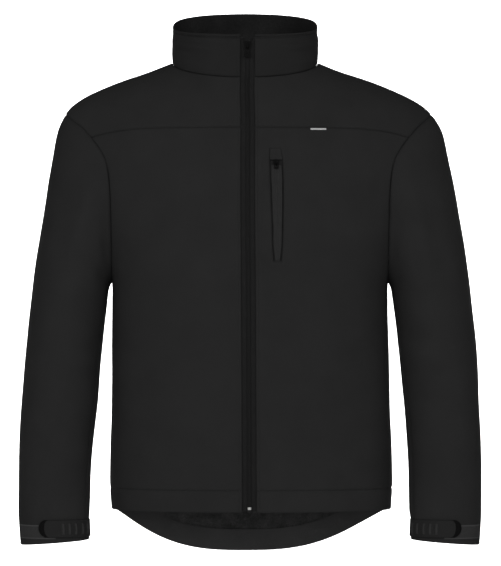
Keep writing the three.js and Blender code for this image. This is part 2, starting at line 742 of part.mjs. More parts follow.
const slit = (z) => mix(HALF_GAP, 1.5, Math.min(Math.max((z + 166) / 6, 0), 1));
add("pocket_tape_inner", pocketStrip(pocketLevels, (z) => along(WINDOW, "z", "left", z) - 4.5,
  (z) => windowMiddle(z) - slit(z), POCKET_DEPTH, 0.8), "tape");
add("pocket_tape_outer", pocketStrip(pocketLevels, (z) => windowMiddle(z) + slit(z),
  (z) => along(WINDOW, "z", "right", z) + 4.5, POCKET_DEPTH, 0.8), "tape");
add("pocket_chain", pocketStrip([-312, -266, -222, -194, -166], (z) => windowMiddle(z) - 2.2,
  (z) => windowMiddle(z) + 2.2, POCKET_DEPTH + GAP + 0.8, 1.4), "teeth");
const garageLevels = [GARAGE_LOW, -143, WINDOW_TOP - GAP];
add("pocket_garage", pocketStrip(garageLevels, (z) => along(WINDOW, "z", "left", z) + 0.6,
  (z) => along(WINDOW, "z", "right", z) - 0.6, 0.1, 1.4), "cloth");

// Frame of the pocket slider: across, out of the cloth, and up along it
const POCKET_SLIDER_Z = -156;
const pocketSpot = bodyAt(-1, windowMiddle(POCKET_SLIDER_Z), POCKET_SLIDER_Z);
const pocketUp = bodyAt(-1, pocketSpot.x, POCKET_SLIDER_Z + 4)
  .sub(bodyAt(-1, pocketSpot.x, POCKET_SLIDER_Z - 4)).normalize();
const pocketAcross = bodyAt(-1, pocketSpot.x + 4, POCKET_SLIDER_Z)
  .sub(bodyAt(-1, pocketSpot.x - 4, POCKET_SLIDER_Z)).normalize();
const pocketIn = pocketUp.clone().cross(pocketAcross).normalize();
const pocketFrame = new THREE.Matrix4()
  .makeBasis(pocketAcross, pocketIn, pocketAcross.clone().cross(pocketIn))
  .setPosition(pocketSpot);
const pocketSliderParts = [
  plate(4.2, -5.6, 5.4, 1.5, 0.8, 2.4, 4.8),
  plate(3.6, -5.6, 5.4, 1.5, 5.8, 7),
  plate(0.8, 0.4, 4.8, 0.3, 2, 6.2),
  bridge(0.8, 0.8, -4.2, 3.2, 3.4, 1.1),
];
const pocketSliderBody = joined(pocketSliderParts);
pocketSliderBody.applyMatrix4(pocketFrame);
add("pocket_slider", pocketSliderBody, "slider");
const pocketPullBody = pull(2.5, 3.3, 9.5, 6.6, 1, 1.2);
pocketPullBody.applyMatrix4(new THREE.Matrix4().makeTranslation(0, -0.35, -2.1).premultiply(pocketFrame));
add("pocket_pull", pocketPullBody, "slider");

// Bare label tab hanging from the yoke seam
const labelRows = [-108.4, -106.2, -104].map((z) => [92.5, 100.5, 108.5, 116.5].map((x) => bodyAt(-1, x, z)));
const labelOuter = shifted(labelRows, directions(labelRows, bodyHeart), GAP + 1);
add("label_tab", wallOf(labelOuter, 1, bodyHeart), "label");

// Armhole seam as a loop: up the edges of the front and the yoke, down the edge of the back
const edgeOf = (rows, from) => rows.slice(from).map((row) => row[row.length - 1].clone());
const frontEdge = [...edgeOf(frontRows, 7), ...edgeOf(yokeRows, 1)];
const backEdge = edgeOf(backRows, 7).reverse();
const armhole = [...frontEdge.slice(0, -1), backEdge[0].clone().setY(0), ...backEdge.slice(1)];
const FRONT_CELLS = frontEdge.length - 1;
const BACK_CELLS = backEdge.length - 1;
const ROUND_CELLS = FRONT_CELLS + BACK_CELLS;

// Angle of each point of the loop by its distance along its half
const armholeTurns = (() => {
  const runs = [0];
  for (let i = 1; i < armhole.length; i += 1) runs.push(runs[i - 1] + armhole[i].distanceTo(armhole[i - 1]));
  const top = runs[FRONT_CELLS];
  const whole = runs[ROUND_CELLS];
  return runs.map((run) => Math.PI * (run <= top ? run / top : 1 + (run - top) / (whole - top)));
})();

const evenTurn = (i) => Math.PI * (i <= FRONT_CELLS ? i / FRONT_CELLS : 1 + (i - FRONT_CELLS) / BACK_CELLS);
const sleeveValue = (column, k) => along(SLEEVE, "k", column, k);

// Point of the sleeve's outer face: ring number and angle round it from the inner side over the front
function sleevePoint(k, turn) {
  const value = (column) => sleeveValue(column, k);
  const inner = new THREE.Vector3(value("ix"), 0, value("iz"));
  const chord = new THREE.Vector3(value("ox"), 0, value("oz")).sub(inner);
  const round = value("round");
  const even = turn > 2 * Math.PI ? turn - 2 * Math.PI : Math.max(turn, 0);
  const spot = even <= Math.PI ? (even / Math.PI) * FRONT_CELLS
    : FRONT_CELLS + (even / Math.PI - 1) * BACK_CELLS;
  const n = Math.min(Math.floor(spot), ROUND_CELLS - 1);
  const loop = armhole[n].clone().lerp(armhole[n + 1], spot - n);
  const first = new THREE.Vector3(SLEEVE[0].ox - SLEEVE[0].ix, 0, SLEEVE[0].oz - SLEEVE[0].iz);
  const size = first.length();
  const from = loop.clone().sub(new THREE.Vector3(SLEEVE[0].ix, 0, SLEEVE[0].iz));
  const loopPart = from.dot(first) / size / size;
  const loopOff = (from.x * first.z - from.z * first.x) / size;
  const angle = mix(mix(armholeTurns[n], armholeTurns[n + 1], spot - n), turn, round);
  const part = mix(loopPart, (1 - Math.cos(angle)) / 2, round);
  const off = loopOff * (1 - round);
  const deep = Math.sin(turn) > 0 ? value("front") : value("back");
  const loopY = loop.y / (loop.y < 0 ? SLEEVE[0].front : SLEEVE[0].back);
  const y = deep * mix(loopY, -Math.sign(Math.sin(angle)) * Math.abs(Math.sin(angle)) ** 0.92, round);
  const side = new THREE.Vector3(chord.z, 0, -chord.x).normalize();
  return inner.addScaledVector(chord, part).addScaledVector(side, off).setY(y + value("y"));
}

function sleeveGrid() {
  const stops = [0, 0.35, 0.8, 1.3, 1.9, 2.5, 3.1, 3.7, 4.3, 5, 5.6, 6.2, 6.8, 7.4, 8, 8.7, 9.4, 10.1, 10.8, 11.4, 12];
  return stops.map((k) => {
    const seam = sleeveValue("seam", k);
    const edge = k === 0 ? 0 : HALF_GAP / sleeveValue("front", k);
    const row = [];
    for (let i = 0; i <= ROUND_CELLS; i += 1) {
      const turn = Math.min(Math.max(evenTurn(i), edge), 2 * Math.PI - edge) + seam;
      const spot = k === 0 ? armhole[i].clone() : sleevePoint(k, turn);
      if (k === 0) {
        const next = sleevePoint(0.35, turn).sub(spot).normalize();
        const out = spot.clone().sub(new THREE.Vector3(150, 0, Math.min(spot.z, -200))).normalize();
        spot.addScaledVector(next, 0.6).addScaledVector(out, 0.35);
      }
      row.push(spot);
    }
    return row;
  });
}

const sleeveRows = sleeveGrid();
const sleeveHeart = new THREE.Vector3(285, 0, -420);
for (const side of [1, -1]) {
  const rows = sleeveRows.map((row) => row.map((p) => mirrored(p, side)));
  add(side > 0 ? "sleeve_left" : "sleeve_right", wallOf(rows, WALL, mirrored(sleeveHeart, side)), "cloth");
}

// Ring number where the sleeve passes a height at an angle
function ringAt(z, turn) {
  let low = 5;
  let high = 12;
  for (let n = 0; n < 30; n += 1) {
    const middle = (low + high) / 2;
    if (sleevePoint(middle, turn).z > z) low = middle;
    else high = middle;
  }
  return (low + high) / 2;
}

// Band on the sleeve between two heights; ends by angle, the second one round or straight
function cuffBand(lowZ, highZ, start, end, rounding, cells, rowsUp, lift, thick) {
  const rows = [];
  for (let j = 0; j <= rowsUp; j += 1) {
    const v = j / rowsUp;
    const stop = end - rounding * (1 - Math.sqrt(Math.max(0, 1 - (2 * v - 1) ** 2 * 0.94)));
    const row = [];
    for (let i = 0; i <= cells; i += 1) {
      const turn = mix(start, stop, i / cells);
      const z = mix(lowZ, highZ, v);
      row.push(sleevePoint(ringAt(z, turn), turn));
    }
    rows.push(row);
  }
  const heart = new THREE.Vector3(302, -25, (lowZ + highZ) / 2);
  const ways = directions(rows, heart);
  const outer = shifted(rows, ways, (i, j) => lift(i / cells) + thick(i, j));
  return { outer, thick, heart };
}

// Cuff strap with raised grip ribs, and the strip that it closes on
const STRAP_CELLS = 22;
const ribbed = (i, j) => (i >= 4 && i <= 12 && i % 2 === 0 && j > 0 && j < 4 ? 2.4 : 1.8);
const rise = (t) => GAP + 1.6 * Math.min(Math.max((t - 0.42) / 0.25, 0), 1);
const strap = cuffBand(-731, -704, -0.32, 1.98, 0.26, STRAP_CELLS, 4, rise, ribbed);
const loop = cuffBand(-733.5, -712, 1.62, 2.84, 0, 8, 2, () => GAP, () => 1.2);
for (const side of [1, -1]) {
  const name = side > 0 ? "left" : "right";
  const turned = (band) => band.outer.map((row) => row.map((p) => mirrored(p, side)));
  add(`cuff_tab_${name}`, wallOf(turned(strap), strap.thick, mirrored(strap.heart, side)), "strap");
  add(`cuff_loop_${name}`, wallOf(turned(loop), loop.thick, mirrored(loop.heart, side)), "loop");
}

export default jacket;
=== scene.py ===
import math

import bmesh
import bpy
import numpy as np
from bpy.props import FloatProperty, FloatVectorProperty, IntProperty, PointerProperty
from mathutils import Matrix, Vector


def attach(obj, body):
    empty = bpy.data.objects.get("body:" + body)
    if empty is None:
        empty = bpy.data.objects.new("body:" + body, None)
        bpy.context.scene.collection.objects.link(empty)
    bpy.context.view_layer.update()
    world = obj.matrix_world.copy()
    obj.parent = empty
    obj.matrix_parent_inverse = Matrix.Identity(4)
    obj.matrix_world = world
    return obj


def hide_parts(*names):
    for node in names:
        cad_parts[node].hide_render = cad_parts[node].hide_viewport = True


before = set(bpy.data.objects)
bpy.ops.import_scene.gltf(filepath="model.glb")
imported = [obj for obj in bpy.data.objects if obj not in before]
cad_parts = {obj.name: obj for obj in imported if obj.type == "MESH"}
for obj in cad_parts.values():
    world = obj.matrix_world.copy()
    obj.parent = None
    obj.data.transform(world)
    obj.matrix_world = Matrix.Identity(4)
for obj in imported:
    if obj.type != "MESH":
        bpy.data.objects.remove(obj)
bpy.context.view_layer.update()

bl_info = {
    "name": "Softshell Jacket",
    "version": (1, 0, 0),
    "blender": (4, 5, 0),
    "location": "View3D > Sidebar > Jacket",
    "description": "Builds a filled-out softshell jacket, its sewing and its studio, piece by piece",
    "category": "Add Mesh",
}

# Lengths are millimetres here and metres in Blender
MM = 0.001

# Cloth and seams
WALL = 2.0
GAP = 0.3
HALF_GAP = GAP / 2
COLLAR_WALL = 1.6
LINING_WALL = 1.2
FACING_WALL = 1.2
TAPE_WALL = 0.8

# Fullness beyond the plain sections by height: sides of the body, then the sleeves' inner and outer sides
BODY_RIGHT, BODY_LEFT, INNER_RIGHT, INNER_LEFT, OUTER_RIGHT, OUTER_LEFT = range(1, 7)
FULLNESS = np.array([
    (-770, 1.2, 5.5, 0, 0, 0, 0),
    (-712, 1.2, 5.5, 0, 0, 0, 0),
    (-690, 1.2, 5.5, 1.8, 3.6, 0.3, 0),
    (-607, 1.2, 5.0, 1.4, 1.8, 0.3, 0.4),
    (-533, 1.0, 3.0, 3.6, 0.8, 0, 1.2),
    (-460, 1.0, 2.6, 1.6, 0.6, 0, 3.8),
    (-386, 1.0, 1.4, 1.0, 0.6, 0, 3.4),
    (-311, 0.5, 0.5, 0, 0, 0.3, 4.6),
    (-237, 0, 0, 0, 0, 1.0, 5.6),
    (-180, 0, 0, 0, 0, 1.2, 4.2),
    (-125, 0, 0, 0, 0, 0, 0),
    (80, 0, 0, 0, 0, 0, 0),
], float)

# Main heights and sizes
HEM_Z = -690.0
UNDERARM_Z = -343.5
SHOULDER_Z = -79.0
SHOULDER_X = 283.5
HEM_HIGH = 33.0
NECK_HALF = 112.5
NECK_DROP = {-1: 25.8, 1: 12.0}
RIDGE_RISE = 45.0
KNEE = {-1: -200.0, 1: -230.0}
TAIL_DROP = 73.0
TAIL_SHIFT = 0.022
SQUARE = 2.3
BLADE_Z = -170.0

# Front zip
ZIP_HALF = 11.25
CHAIN_HALF = 3.0
TAPE_REACH = 16.0
TAPE_DEPTH = 3.0
CHAIN_LOW = -680.2
CHAIN_TOP = 21.0
TAPE_LOW = -687.0
TAPE_TOP = 36.0
PARTING_Z = 28.0
ZIP_STITCH = 4.2
PLATED = (-685.6, -681.8)

# Chest pocket
WINDOW_TOP = -136.0
WINDOW_LOW = -308.0
POCKET_DEPTH = 2.9
POCKET_STITCH = {"left": 18.4, "right": 55.6, "low": -313.0, "top": -131.5}

# Body sections by height: half width, depth forward and depth back at the middle
HALF, FRONT, BACK = 1, 2, 3
BODY = np.array([
    (-770, 213, 120, 116),
    (-690, 213, 120, 117),
    (-646, 215.5, 120, 117),
    (-520, 213.5, 119, 113),
    (-420, 212.5, 122, 116),
    (-343.5, 213.5, 125, 121),
    (-320, 219, 124.5, 122),
    (-290, 227, 123.5, 123),
    (-239, 243, 121.5, 124),
    (-170, 262, 117, 123),
    (-100, 290, 112, 118),
    (-40, 318, 107.5, 113),
    (40, 350, 104, 110),
], float)

# Shoulder line from the neck to the armhole: distance from the middle, height
SHOULDER = np.array([(112.5, 0), (145, -13), (202, -32.5), (245, -51), (270, -66), (283.5, -79)], float)

# Armhole seam seen from the front: height, distance from the middle
ARMHOLE = np.array([
    (-343.5, 213.5),
    (-290, 213.2),
    (-240, 213.5),
    (-205, 214.5),
    (-172, 217.5),
    (-151, 222.5),
    (-140, 228),
    (-127, 236.5),
    (-115, 246.5),
    (-102, 258),
    (-90, 272),
    (-79, 283.5),
], float)

# Yoke seam across the chest: distance from the middle, height
YOKE = np.array([(0, -103.3), (100, -103.5), (160, -104.5), (200, -108), (225, -112.5), (250, -119.5)], float)

# Middle of the front zip by height, before the lean of the shoulders
ZIP = np.array([(-690, -0.8), (-400, -2.1), (-110, -3.2), (-60, 1.1), (-26, 3.3), (45, 3.3)], float)

# Sideways lean of the shoulders and the collar by height
LEAN = np.array([(-110, 0), (-88, -1.5), (-70, -3.9), (-51, -6.2), (-32, -7.2), (80, -7)], float)

# Sleeve rings from the armhole to the cuff: inner and outer point, depths, middle, roundness, seam angle
INNER_X, INNER_Z, OUTER_X, OUTER_Z, SLEEVE_FRONT, SLEEVE_BACK, SLEEVE_Y, ROUND, SEAM = range(1, 10)
SLEEVE = np.array([
    (0, 213.5, -343.5, 283.5, -79, 70, 72, 0, 0, 0),
    (1, 216.5, -347, 299, -112, 72, 75, 0, 0.2, 0),
    (2, 218.5, -353, 309, -172, 75, 78, 0, 0.45, 0),
    (3, 220.5, -365, 319, -236, 77, 80, 0, 0.72, 0),
    (4, 223.5, -385, 330, -300, 77, 79, 0, 0.92, 0),
    (5, 227.5, -415, 338.5, -364, 74, 77, -1, 1, 0.03),
    (6, 231.5, -452, 345.5, -426, 71, 74, -3, 1, 0.12),
    (7, 236, -497, 350.5, -486, 67, 70, -6, 1, 0.26),
    (8, 240, -540, 353.8, -538, 62, 66, -10, 1, 0.34),
    (9, 244, -590, 356.3, -592, 57, 61, -15, 1, 0.36),
    (10, 248, -650, 357.3, -655, 50, 54, -21, 1, 0.36),
    (11, 249, -695, 356.8, -701, 45, 49, -25, 1, 0.36),
    (12, 247.5, -736, 354, -744, 42, 45, -28, 1, 0.36),
], float)
LAST_RING = 12.0

# Chest pocket window by height: left and right edge
WINDOW_LEFT, WINDOW_RIGHT = 1, 2
WINDOW = np.array([
    (-308, 35.8, 48.2),
    (-288, 34.0, 50.0),
    (-255, 33.0, 51.0),
    (-210, 31.2, 51.6),
    (-160, 29.8, 50.4),
    (-136, 30.4, 46.6),
], float)

# Rows of the part's own front and back that the armhole seam runs through
FRONT_ROWS = (-343.5, -332, -308, -262, -216, -184, -157, -136)
BACK_ROWS = (-343.5, -332, -308, -262, -216, -170)
TAIL_ROWS = (-690, -657, -606, -552, -498, -446)

# Soft creases of the body: face (-1 front, 1 back), width, depth out, and the path as places (x, z)
BODY_CREASES = (
    (-1, 24, -1.7, ((-208, -332), (-182, -318), (-142, -298), (-108, -262))),
    (-1, 17, 1.0, ((-200, -352), (-164, -338), (-122, -322))),
    (-1, 19, -1.2, ((-204, -378), (-166, -360), (-126, -350))),
    (-1, 22, -1.5, ((209, -326), (186, -310), (152, -280), (130, -236))),
    (-1, 18, -1.1, ((205, -384), (172, -370), (138, -352))),
    (-1, 15, 0.8, ((203, -356), (174, -342), (146, -318))),
    (-1, 15, -1.0, ((-212, -188), (-192, -204), (-172, -244))),
    (-1, 15, -0.9, ((214, -180), (194, -198), (178, -230))),
    (-1, 34, -1.6, ((-196, -468), (-126, -458), (-58, -476))),
    (-1, 26, -1.1, ((-176, -548), (-112, -556), (-48, -542))),
    (-1, 28, 1.2, ((-100, -610), (-110, -520), (-94, -428))),
    (-1, 34, -1.5, ((58, -488), (122, -470), (192, -480))),
    (-1, 25, -1.1, ((44, -580), (108, -562), (170, -570))),
    (-1, 26, 1.1, ((116, -632), (102, -540), (118, -436))),
    (-1, 14, -0.7, ((-150, -652), (-146, -622), (-136, -596))),
    (-1, 14, -0.7, ((88, -654), (94, -626), (90, -600))),
    (-1, 17, -0.9, ((-122, -42), (-154, -60), (-198, -78))),
    (-1, 17, -0.8, ((126, -46), (160, -62), (196, -84))),
    (1, 30, -2.1, ((-204, -342), (-154, -312), (-88, -300))),
    (1, 28, -1.9, ((205, -348), (158, -318), (98, -296))),
    (1, 18, 1.2, ((-198, -368), (-150, -344), (-96, -334))),
    (1, 17, 1.1, ((200, -376), (152, -350), (104, -338))),
    (1, 44, -2.4, ((2, -150), (-4, -262), (3, -410))),
    (1, 24, -1.3, ((-214, -200), (-176, -226), (-140, -262))),
    (1, 22, -1.2, ((214, -190), (180, -218), (150, -250))),
    (1, 32, -1.8, ((-176, -492), (-96, -480), (6, -498))),
    (1, 30, -1.5, ((14, -556), (88, -540), (170, -552))),
    (1, 26, -1.2, ((-160, -586), (-84, -600), (-22, -588))),
    (1, 26, 1.2, ((-84, -640), (-92, -560), (-78, -470))),
    (1, 24, 1.1, ((98, -652), (86, -580), (100, -492))),
    (1, 16, -0.8, ((-66, -742), (-60, -708), (-64, -676))),
    (1, 16, -0.8, ((52, -740), (60, -704), (52, -672))),
    (1, 18, -0.9, ((-126, -38), (-158, -58), (-200, -82))),
    (1, 18, -0.9, ((124, -36), (162, -60), (206, -86))),
)

# Soft creases of the sleeves: side (1 left, -1 right), width, depth out, and the path as (ring, turn)
SLEEVE_CREASES = (
    (-1, 13, -2.0, ((1.5, 0.15), (2.1, 0.55), (3.0, 1.15))),
    (-1, 15, -1.5, ((1.1, 0.75), (2.3, 1.05), (3.7, 1.1))),
    (-1, 14, 1.1, ((1.3, 1.2), (2.4, 1.45), (3.6, 1.5))),
    (-1, 17, -1.4, ((1.2, 1.75), (2.5, 1.9), (3.9, 1.8))),
    (-1, 13, -1.9, ((5.6, 0.3), (5.9, 0.95), (5.9, 1.75))),
    (-1, 12, 1.3, ((6.2, 0.3), (6.4, 1.0), (6.4, 1.9))),
    (-1, 13, -1.8, ((6.9, 0.35), (6.9, 1.05), (7.1, 2.1))),
    (-1, 13, -1.2, ((7.9, 0.5), (7.7, 1.2), (7.8, 2.3))),
    (-1, 16, -1.1, ((9.1, 0.6), (9.3, 1.3), (9.2, 2.2))),
    (-1, 13, -1.2, ((10.1, 0.5), (10.4, 1.25), (10.3, 2.1))),
    (-1, 15, -1.7, ((1.4, 5.9), (2.2, 5.5), (3.2, 5.1))),
    (-1, 17, -1.4, ((1.3, 4.6), (2.6, 4.4), (4.0, 4.5))),
    (-1, 15, -1.7, ((6.0, 5.8), (6.2, 5.0), (6.1, 4.1))),
    (-1, 14, 1.2, ((6.7, 5.7), (6.8, 4.9), (6.7, 4.2))),
    (-1, 15, -1.5, ((7.4, 5.6), (7.3, 4.8), (7.5, 3.9))),
    (-1, 15, -1.1, ((9.8, 5.5), (9.9, 4.8), (9.7, 4.0))),
    (1, 13, -1.9, ((1.6, 0.2), (2.3, 0.6), (3.3, 1.05))),
    (1, 15, -1.6, ((1.0, 0.85), (2.2, 1.0), (3.4, 1.2))),
    (1, 14, 1.0, ((1.2, 1.25), (2.5, 1.35), (3.8, 1.6))),
    (1, 17, -1.3, ((1.3, 1.8), (2.6, 1.8), (4.2, 1.95))),
    (1, 13, -1.7, ((5.3, 0.35), (5.5, 0.95), (5.7, 1.6))),
    (1, 12, 1.2, ((6.0, 0.3), (6.1, 1.0), (6.3, 1.8))),
    (1, 13, -2.0, ((6.6, 0.3), (6.7, 1.0), (6.7, 2.0))),
    (1, 13, -1.1, ((7.5, 0.5), (7.6, 1.2), (7.5, 2.2))),
    (1, 16, -1.2, ((8.8, 0.5), (8.9, 1.2), (9.2, 2.0))),
    (1, 13, -1.1, ((10.3, 0.6), (10.2, 1.3), (10.5, 2.0))),
    (1, 15, -1.8, ((1.3, 5.9), (2.1, 5.6), (3.4, 5.2))),
    (1, 17, -1.3, ((1.2, 4.7), (2.4, 4.5), (3.8, 4.4))),
    (1, 15, -1.6, ((5.7, 5.8), (5.9, 5.1), (6.0, 4.2))),
    (1, 14, 1.1, ((6.4, 5.7), (6.5, 5.0), (6.5, 4.1))),
    (1, 15, -1.7, ((7.1, 5.7), (7.2, 4.9), (7.1, 4.0))),
    (1, 15, -1.0, ((9.5, 5.4), (9.7, 4.8), (9.6, 4.1))),
)

# Soft creases of the collar: width, depth out, and the path as (turn from the front, part of the height)
COLLAR_CREASES = (
    (4.2, -2.7, ((-1.75, 0.8), (-1.0, 0.79), (-0.25, 0.82))),
    (6.5, -2.8, ((-1.65, 0.5), (-0.95, 0.47), (-0.3, 0.54))),
    (6.0, 1.2, ((-1.5, 0.66), (-0.9, 0.64), (-0.35, 0.7))),
    (5.0, 1.0, ((-1.4, 0.24), (-0.8, 0.2), (-0.35, 0.26))),
    (4.2, -2.8, ((0.3, 0.83), (1.0, 0.79), (1.8, 0.81))),
    (6.5, -2.7, ((0.35, 0.55), (1.05, 0.48), (1.7, 0.46))),
    (6.0, 1.2, ((0.4, 0.7), (1.0, 0.66), (1.5, 0.63))),
    (5.0, 1.0, ((0.35, 0.24), (0.9, 0.21), (1.5, 0.25))),
    (7.0, -1.2, ((2.0, 0.5), (2.6, 0.42), (3.1, 0.5))),
    (7.0, -1.1, ((3.3, 0.46), (3.8, 0.54), (4.3, 0.48))),
)


def linear(hex_colour):
    """Red, green and blue of an sRGB hex colour as linear values."""
    parts = [int(hex_colour[at:at + 2], 16) / 255 for at in (1, 3, 5)]
    return [part / 12.92 if part <= 0.04045 else ((part + 0.055) / 1.055) ** 2.4 for part in parts]


def length(name, text, default, low, high):
    """A length that the user can change, in metres."""
    return FloatProperty(name=name, description=text, default=default, min=low, max=high, unit="LENGTH")


def colour(name, text, hex_colour):
    """A colour that the user can change."""
    return FloatVectorProperty(
        name=name, description=text, default=linear(hex_colour), min=0, max=1, size=3, subtype="COLOR")


class JacketSizes(bpy.types.PropertyGroup):
    """Sizes of the cloth's mesh, its seams and its sewing."""

    cell: length("Mesh cell", "Width of the cells that the cloth is made of", 0.0048, 0.003, 0.02)
    seam_dip: length("Seam depth", "How far the cloth rolls in at a seam", 0.0012, 0, 0.002)
    seam_reach: length("Seam roll", "Width of the roll beside a seam", 0.0032, 0.001, 0.01)
    stitch_pitch: length("Stitch spacing", "Distance from one stitch to the next", 0.0031, 0.002, 0.01)
    stitch_long: length("Stitch length", "Length of one stitch", 0.0024, 0.001, 0.008)
    thread: length("Thread", "Thickness of the sewing thread", 0.00052, 0.0002, 0.002)
    coil_pitch: length("Coil spacing", "Distance between turns of the zip's coil", 0.0015, 0.001, 0.005)
    tape_ribs: IntProperty(
        name="Tape ribs", description="Woven ribs on each zip tape", default=7, min=1, max=20)
    creasing: FloatProperty(
        name="Creasing", description="Strength of the cloth's soft creases", default=1.0, min=0, max=2,
        subtype="FACTOR")


class JacketColours(bpy.types.PropertyGroup):
    """Colours of the jacket's materials."""

    cloth: colour("Cloth", "Outer face of the softshell", "#202020")
    # Fleece is lighter than its own tone: painted light for the inside of the tail, which lies in shade
    fleece: colour("Fleece", "Brushed inner face", "#2f2f2f")
    lining: colour("Collar lining", "Brushed lining of the collar", "#1c1c1c")
    tape: colour("Tape", "Woven zip tapes", "#151515")
    teeth: colour("Teeth", "Moulded coil and end box", "#1a1a1a")
    lacquer: colour("Lacquer", "Sliders and pulls", "#070707")
    strap: colour("Strap", "Cuff straps", "#181818")
    # Near-black strap tip: painted shadow under the strap's lifted tip, given as a rubber end
    tip: colour("Strap tip", "Rubber end of the cuff straps", "#090909")
    # Ribs are lighter than the strap: painted highlight on the raised ribs' crests
    ribs: colour("Ribs", "Rubber ribs of the cuff straps", "#292929")
    loop: colour("Loop pile", "Strip that the cuff strap closes on", "#252525")
    # Facing is lighter than the softshell it is made of: painted light for the inside of the tail, which lies
    # in shade
    facing: colour("Facing", "Turned-up hem inside the tail", "#323232")
    label: colour("Label", "Bare tab on the yoke seam", "#9c9c9c")
    thread: colour("Thread", "Sewing thread", "#1e1e1e")


def sizes():
    return bpy.context.scene.jacket_sizes


def colours():
    return bpy.context.scene.jacket_colours


def along(rows, column, value):
    """Value of a table's column at a place in its first one, on a smooth curve through the rows."""
    keys, values = rows[:, 0], rows[:, column]
    value = np.clip(np.asarray(value, float), keys[0], keys[-1])
    row = np.clip(np.searchsorted(keys, value, side="right") - 1, 0, len(keys) - 2)
    before = np.maximum(np.arange(len(keys)) - 1, 0)
    after = np.minimum(np.arange(len(keys)) + 1, len(keys) - 1)
    slope = (values[after] - values[before]) / (keys[after] - keys[before])
    step = keys[row + 1] - keys[row]
    t = (value - keys[row]) / step
    lift = t * (1 - t) * ((1 - t) * slope[row] - t * slope[row + 1]) * step
    return values[row] + (values[row + 1] - values[row]) * t * t * (3 - 2 * t) + lift


def mix(a, b, t):
    return a + (b - a) * t


def ease(value, start, end):
    """0 before start, 1 after end, and a soft rise between them."""
    t = np.clip((value - start) / (end - start), 0, 1)
    return t * t * (3 - 2 * t)


def armhole_x(z):
    return along(ARMHOLE, 1, z)


def zip_edge(side, z):
    return side * along(ZIP, 1, z) + ZIP_HALF


def yoke_z(x):
    return along(YOKE, 1, np.abs(x))


def ridge(x):
    """Height of the shoulder line, carried on over the neck opening."""
    across = np.abs(x)
    rise = 1 - np.minimum(across / NECK_HALF, 1) ** 2
    return np.where(across >= NECK_HALF, along(SHOULDER, 1, across), RIDGE_RISE / 2 * (rise + rise * rise))


def full_depth(face, x, z):
    """Depth of the body's level section, without the rounding of the shoulder."""
    across = np.minimum(np.abs(x) / along(BODY, HALF, z), 1)
    return along(BODY, FRONT if face < 0 else BACK, z) * (1 - across ** SQUARE) ** (1 / SQUARE)


def angle_of(face, x, z):
    """Shoulder angle of a height: 0 where the rounding starts, a quarter turn on the shoulder line."""
    part = (z - KNEE[face]) / (ridge(x) - KNEE[face])
    return np.where(part > 0, np.arcsin(np.clip(part, 0, 1)), part)


def body_point(face, x, angle):
    """Point on the body's outer face."""
    x, angle = np.broadcast_arrays(np.asarray(x, float), np.asarray(angle, float))
    z = KNEE[face] + (ridge(x) - KNEE[face]) * np.where(angle > 0, np.sin(angle), angle)
    y = face * full_depth(face, x, z) * np.where(angle > 0, np.cos(angle), 1)
    return np.stack([x, y, z], axis=-1)


def body_at(face, x, z):
    x, z = np.broadcast_arrays(np.asarray(x, float), np.asarray(z, float))
    return body_point(face, x, angle_of(face, x, z))


def ridge_angle(face, x):
    """Shoulder angle that stops half a seam gap short of the shoulder line."""
    return np.arccos(HALF_GAP / full_depth(face, x, ridge(x)))


def turn_of(part):
    """Angle round a level section for a part of its half width."""
    part = np.minimum(part, 1)
    return np.arctan2(part, (1 - part ** SQUARE) ** (1 / SQUARE))


def parts_of(turn):
    """Parts of the half width and of the depth for an angle round a level section."""
    s, c = np.abs(np.sin(turn)), np.abs(np.cos(turn))
    size = (s ** SQUARE + c ** SQUARE) ** (1 / SQUARE)
    return s / size, c / size


def runs(points, axis=0):
    """Distance along the points of a line, or of each line of a grid."""
    steps = np.linalg.norm(np.diff(points, axis=axis), axis=-1)
    pad = [(0, 0)] * steps.ndim
    pad[axis] = (1, 0)
    return np.pad(np.cumsum(steps, axis=axis), pad)


def evenly(curve, face, fractions):
    """Places (x, shoulder angle) on a curve of the body at fractions of its length."""
    x, angle = np.broadcast_arrays(*curve(np.linspace(0, 1, 300)))
    run = runs(body_point(face, x, angle))
    want = np.asarray(fractions) * run[-1]
    return np.stack([np.interp(want, run, x), np.interp(want, run, angle)], axis=-1)


def patch(low, top, left, right, u, v):
    """Four-sided patch between its edges, in places on the body."""
    u, v = u[None, :, None], v[:, None, None]
    sides = left[:, None] * (1 - u) + right[:, None] * u
    corners = mix(mix(low[0], low[-1], u), mix(top[0], top[-1], u), v)
    return mix(low[None], top[None], v) + sides - corners


def spread(start, end, near=(), far=(), step=None):
    """Places from start to end in even steps, with closer ones at distances from either end."""
    step = step or sizes().cell / MM
    first = start + (near[-1] if near else 0)
    last = end - (far[-1] if far else 0)
    count = max(1, round((last - first) / step))
    middle = np.linspace(first, last, count + 1)
    return np.concatenate([
        [start] if near else [],
        start + np.array(near[:-1]),
        middle,
        end - np.array(far[:-1])[::-1],
        [end] if far else [],
    ])


# Heights of the mesh's rows over the hem's stitch line
HEM_STITCHED = HEM_Z + np.array([HEM_HIGH - 2.2, HEM_HIGH - 1, HEM_HIGH, HEM_HIGH + 1, HEM_HIGH + 2.2])

# Distances from a sewn edge at which the cloth's mesh has rows, close where it rolls in
EDGE = (0.7, 1.5, 2.6, 4.2, 6.5)
BARE = (2.5,)


def joined(*lists):
    """Lists of places one after the other, without the repeated ones where they meet."""
    return np.concatenate([lists[0], *[item[1:] for item in lists[1:]]])


def soft_path(points, count=14):
    """Places along a soft curve through a crease's few points."""
    rows = np.column_stack([np.arange(len(points)), np.array(points, float)])
    place = np.linspace(0, len(points) - 1, count)
    return np.stack([along(rows, 1, place), along(rows, 2, place)], axis=-1)


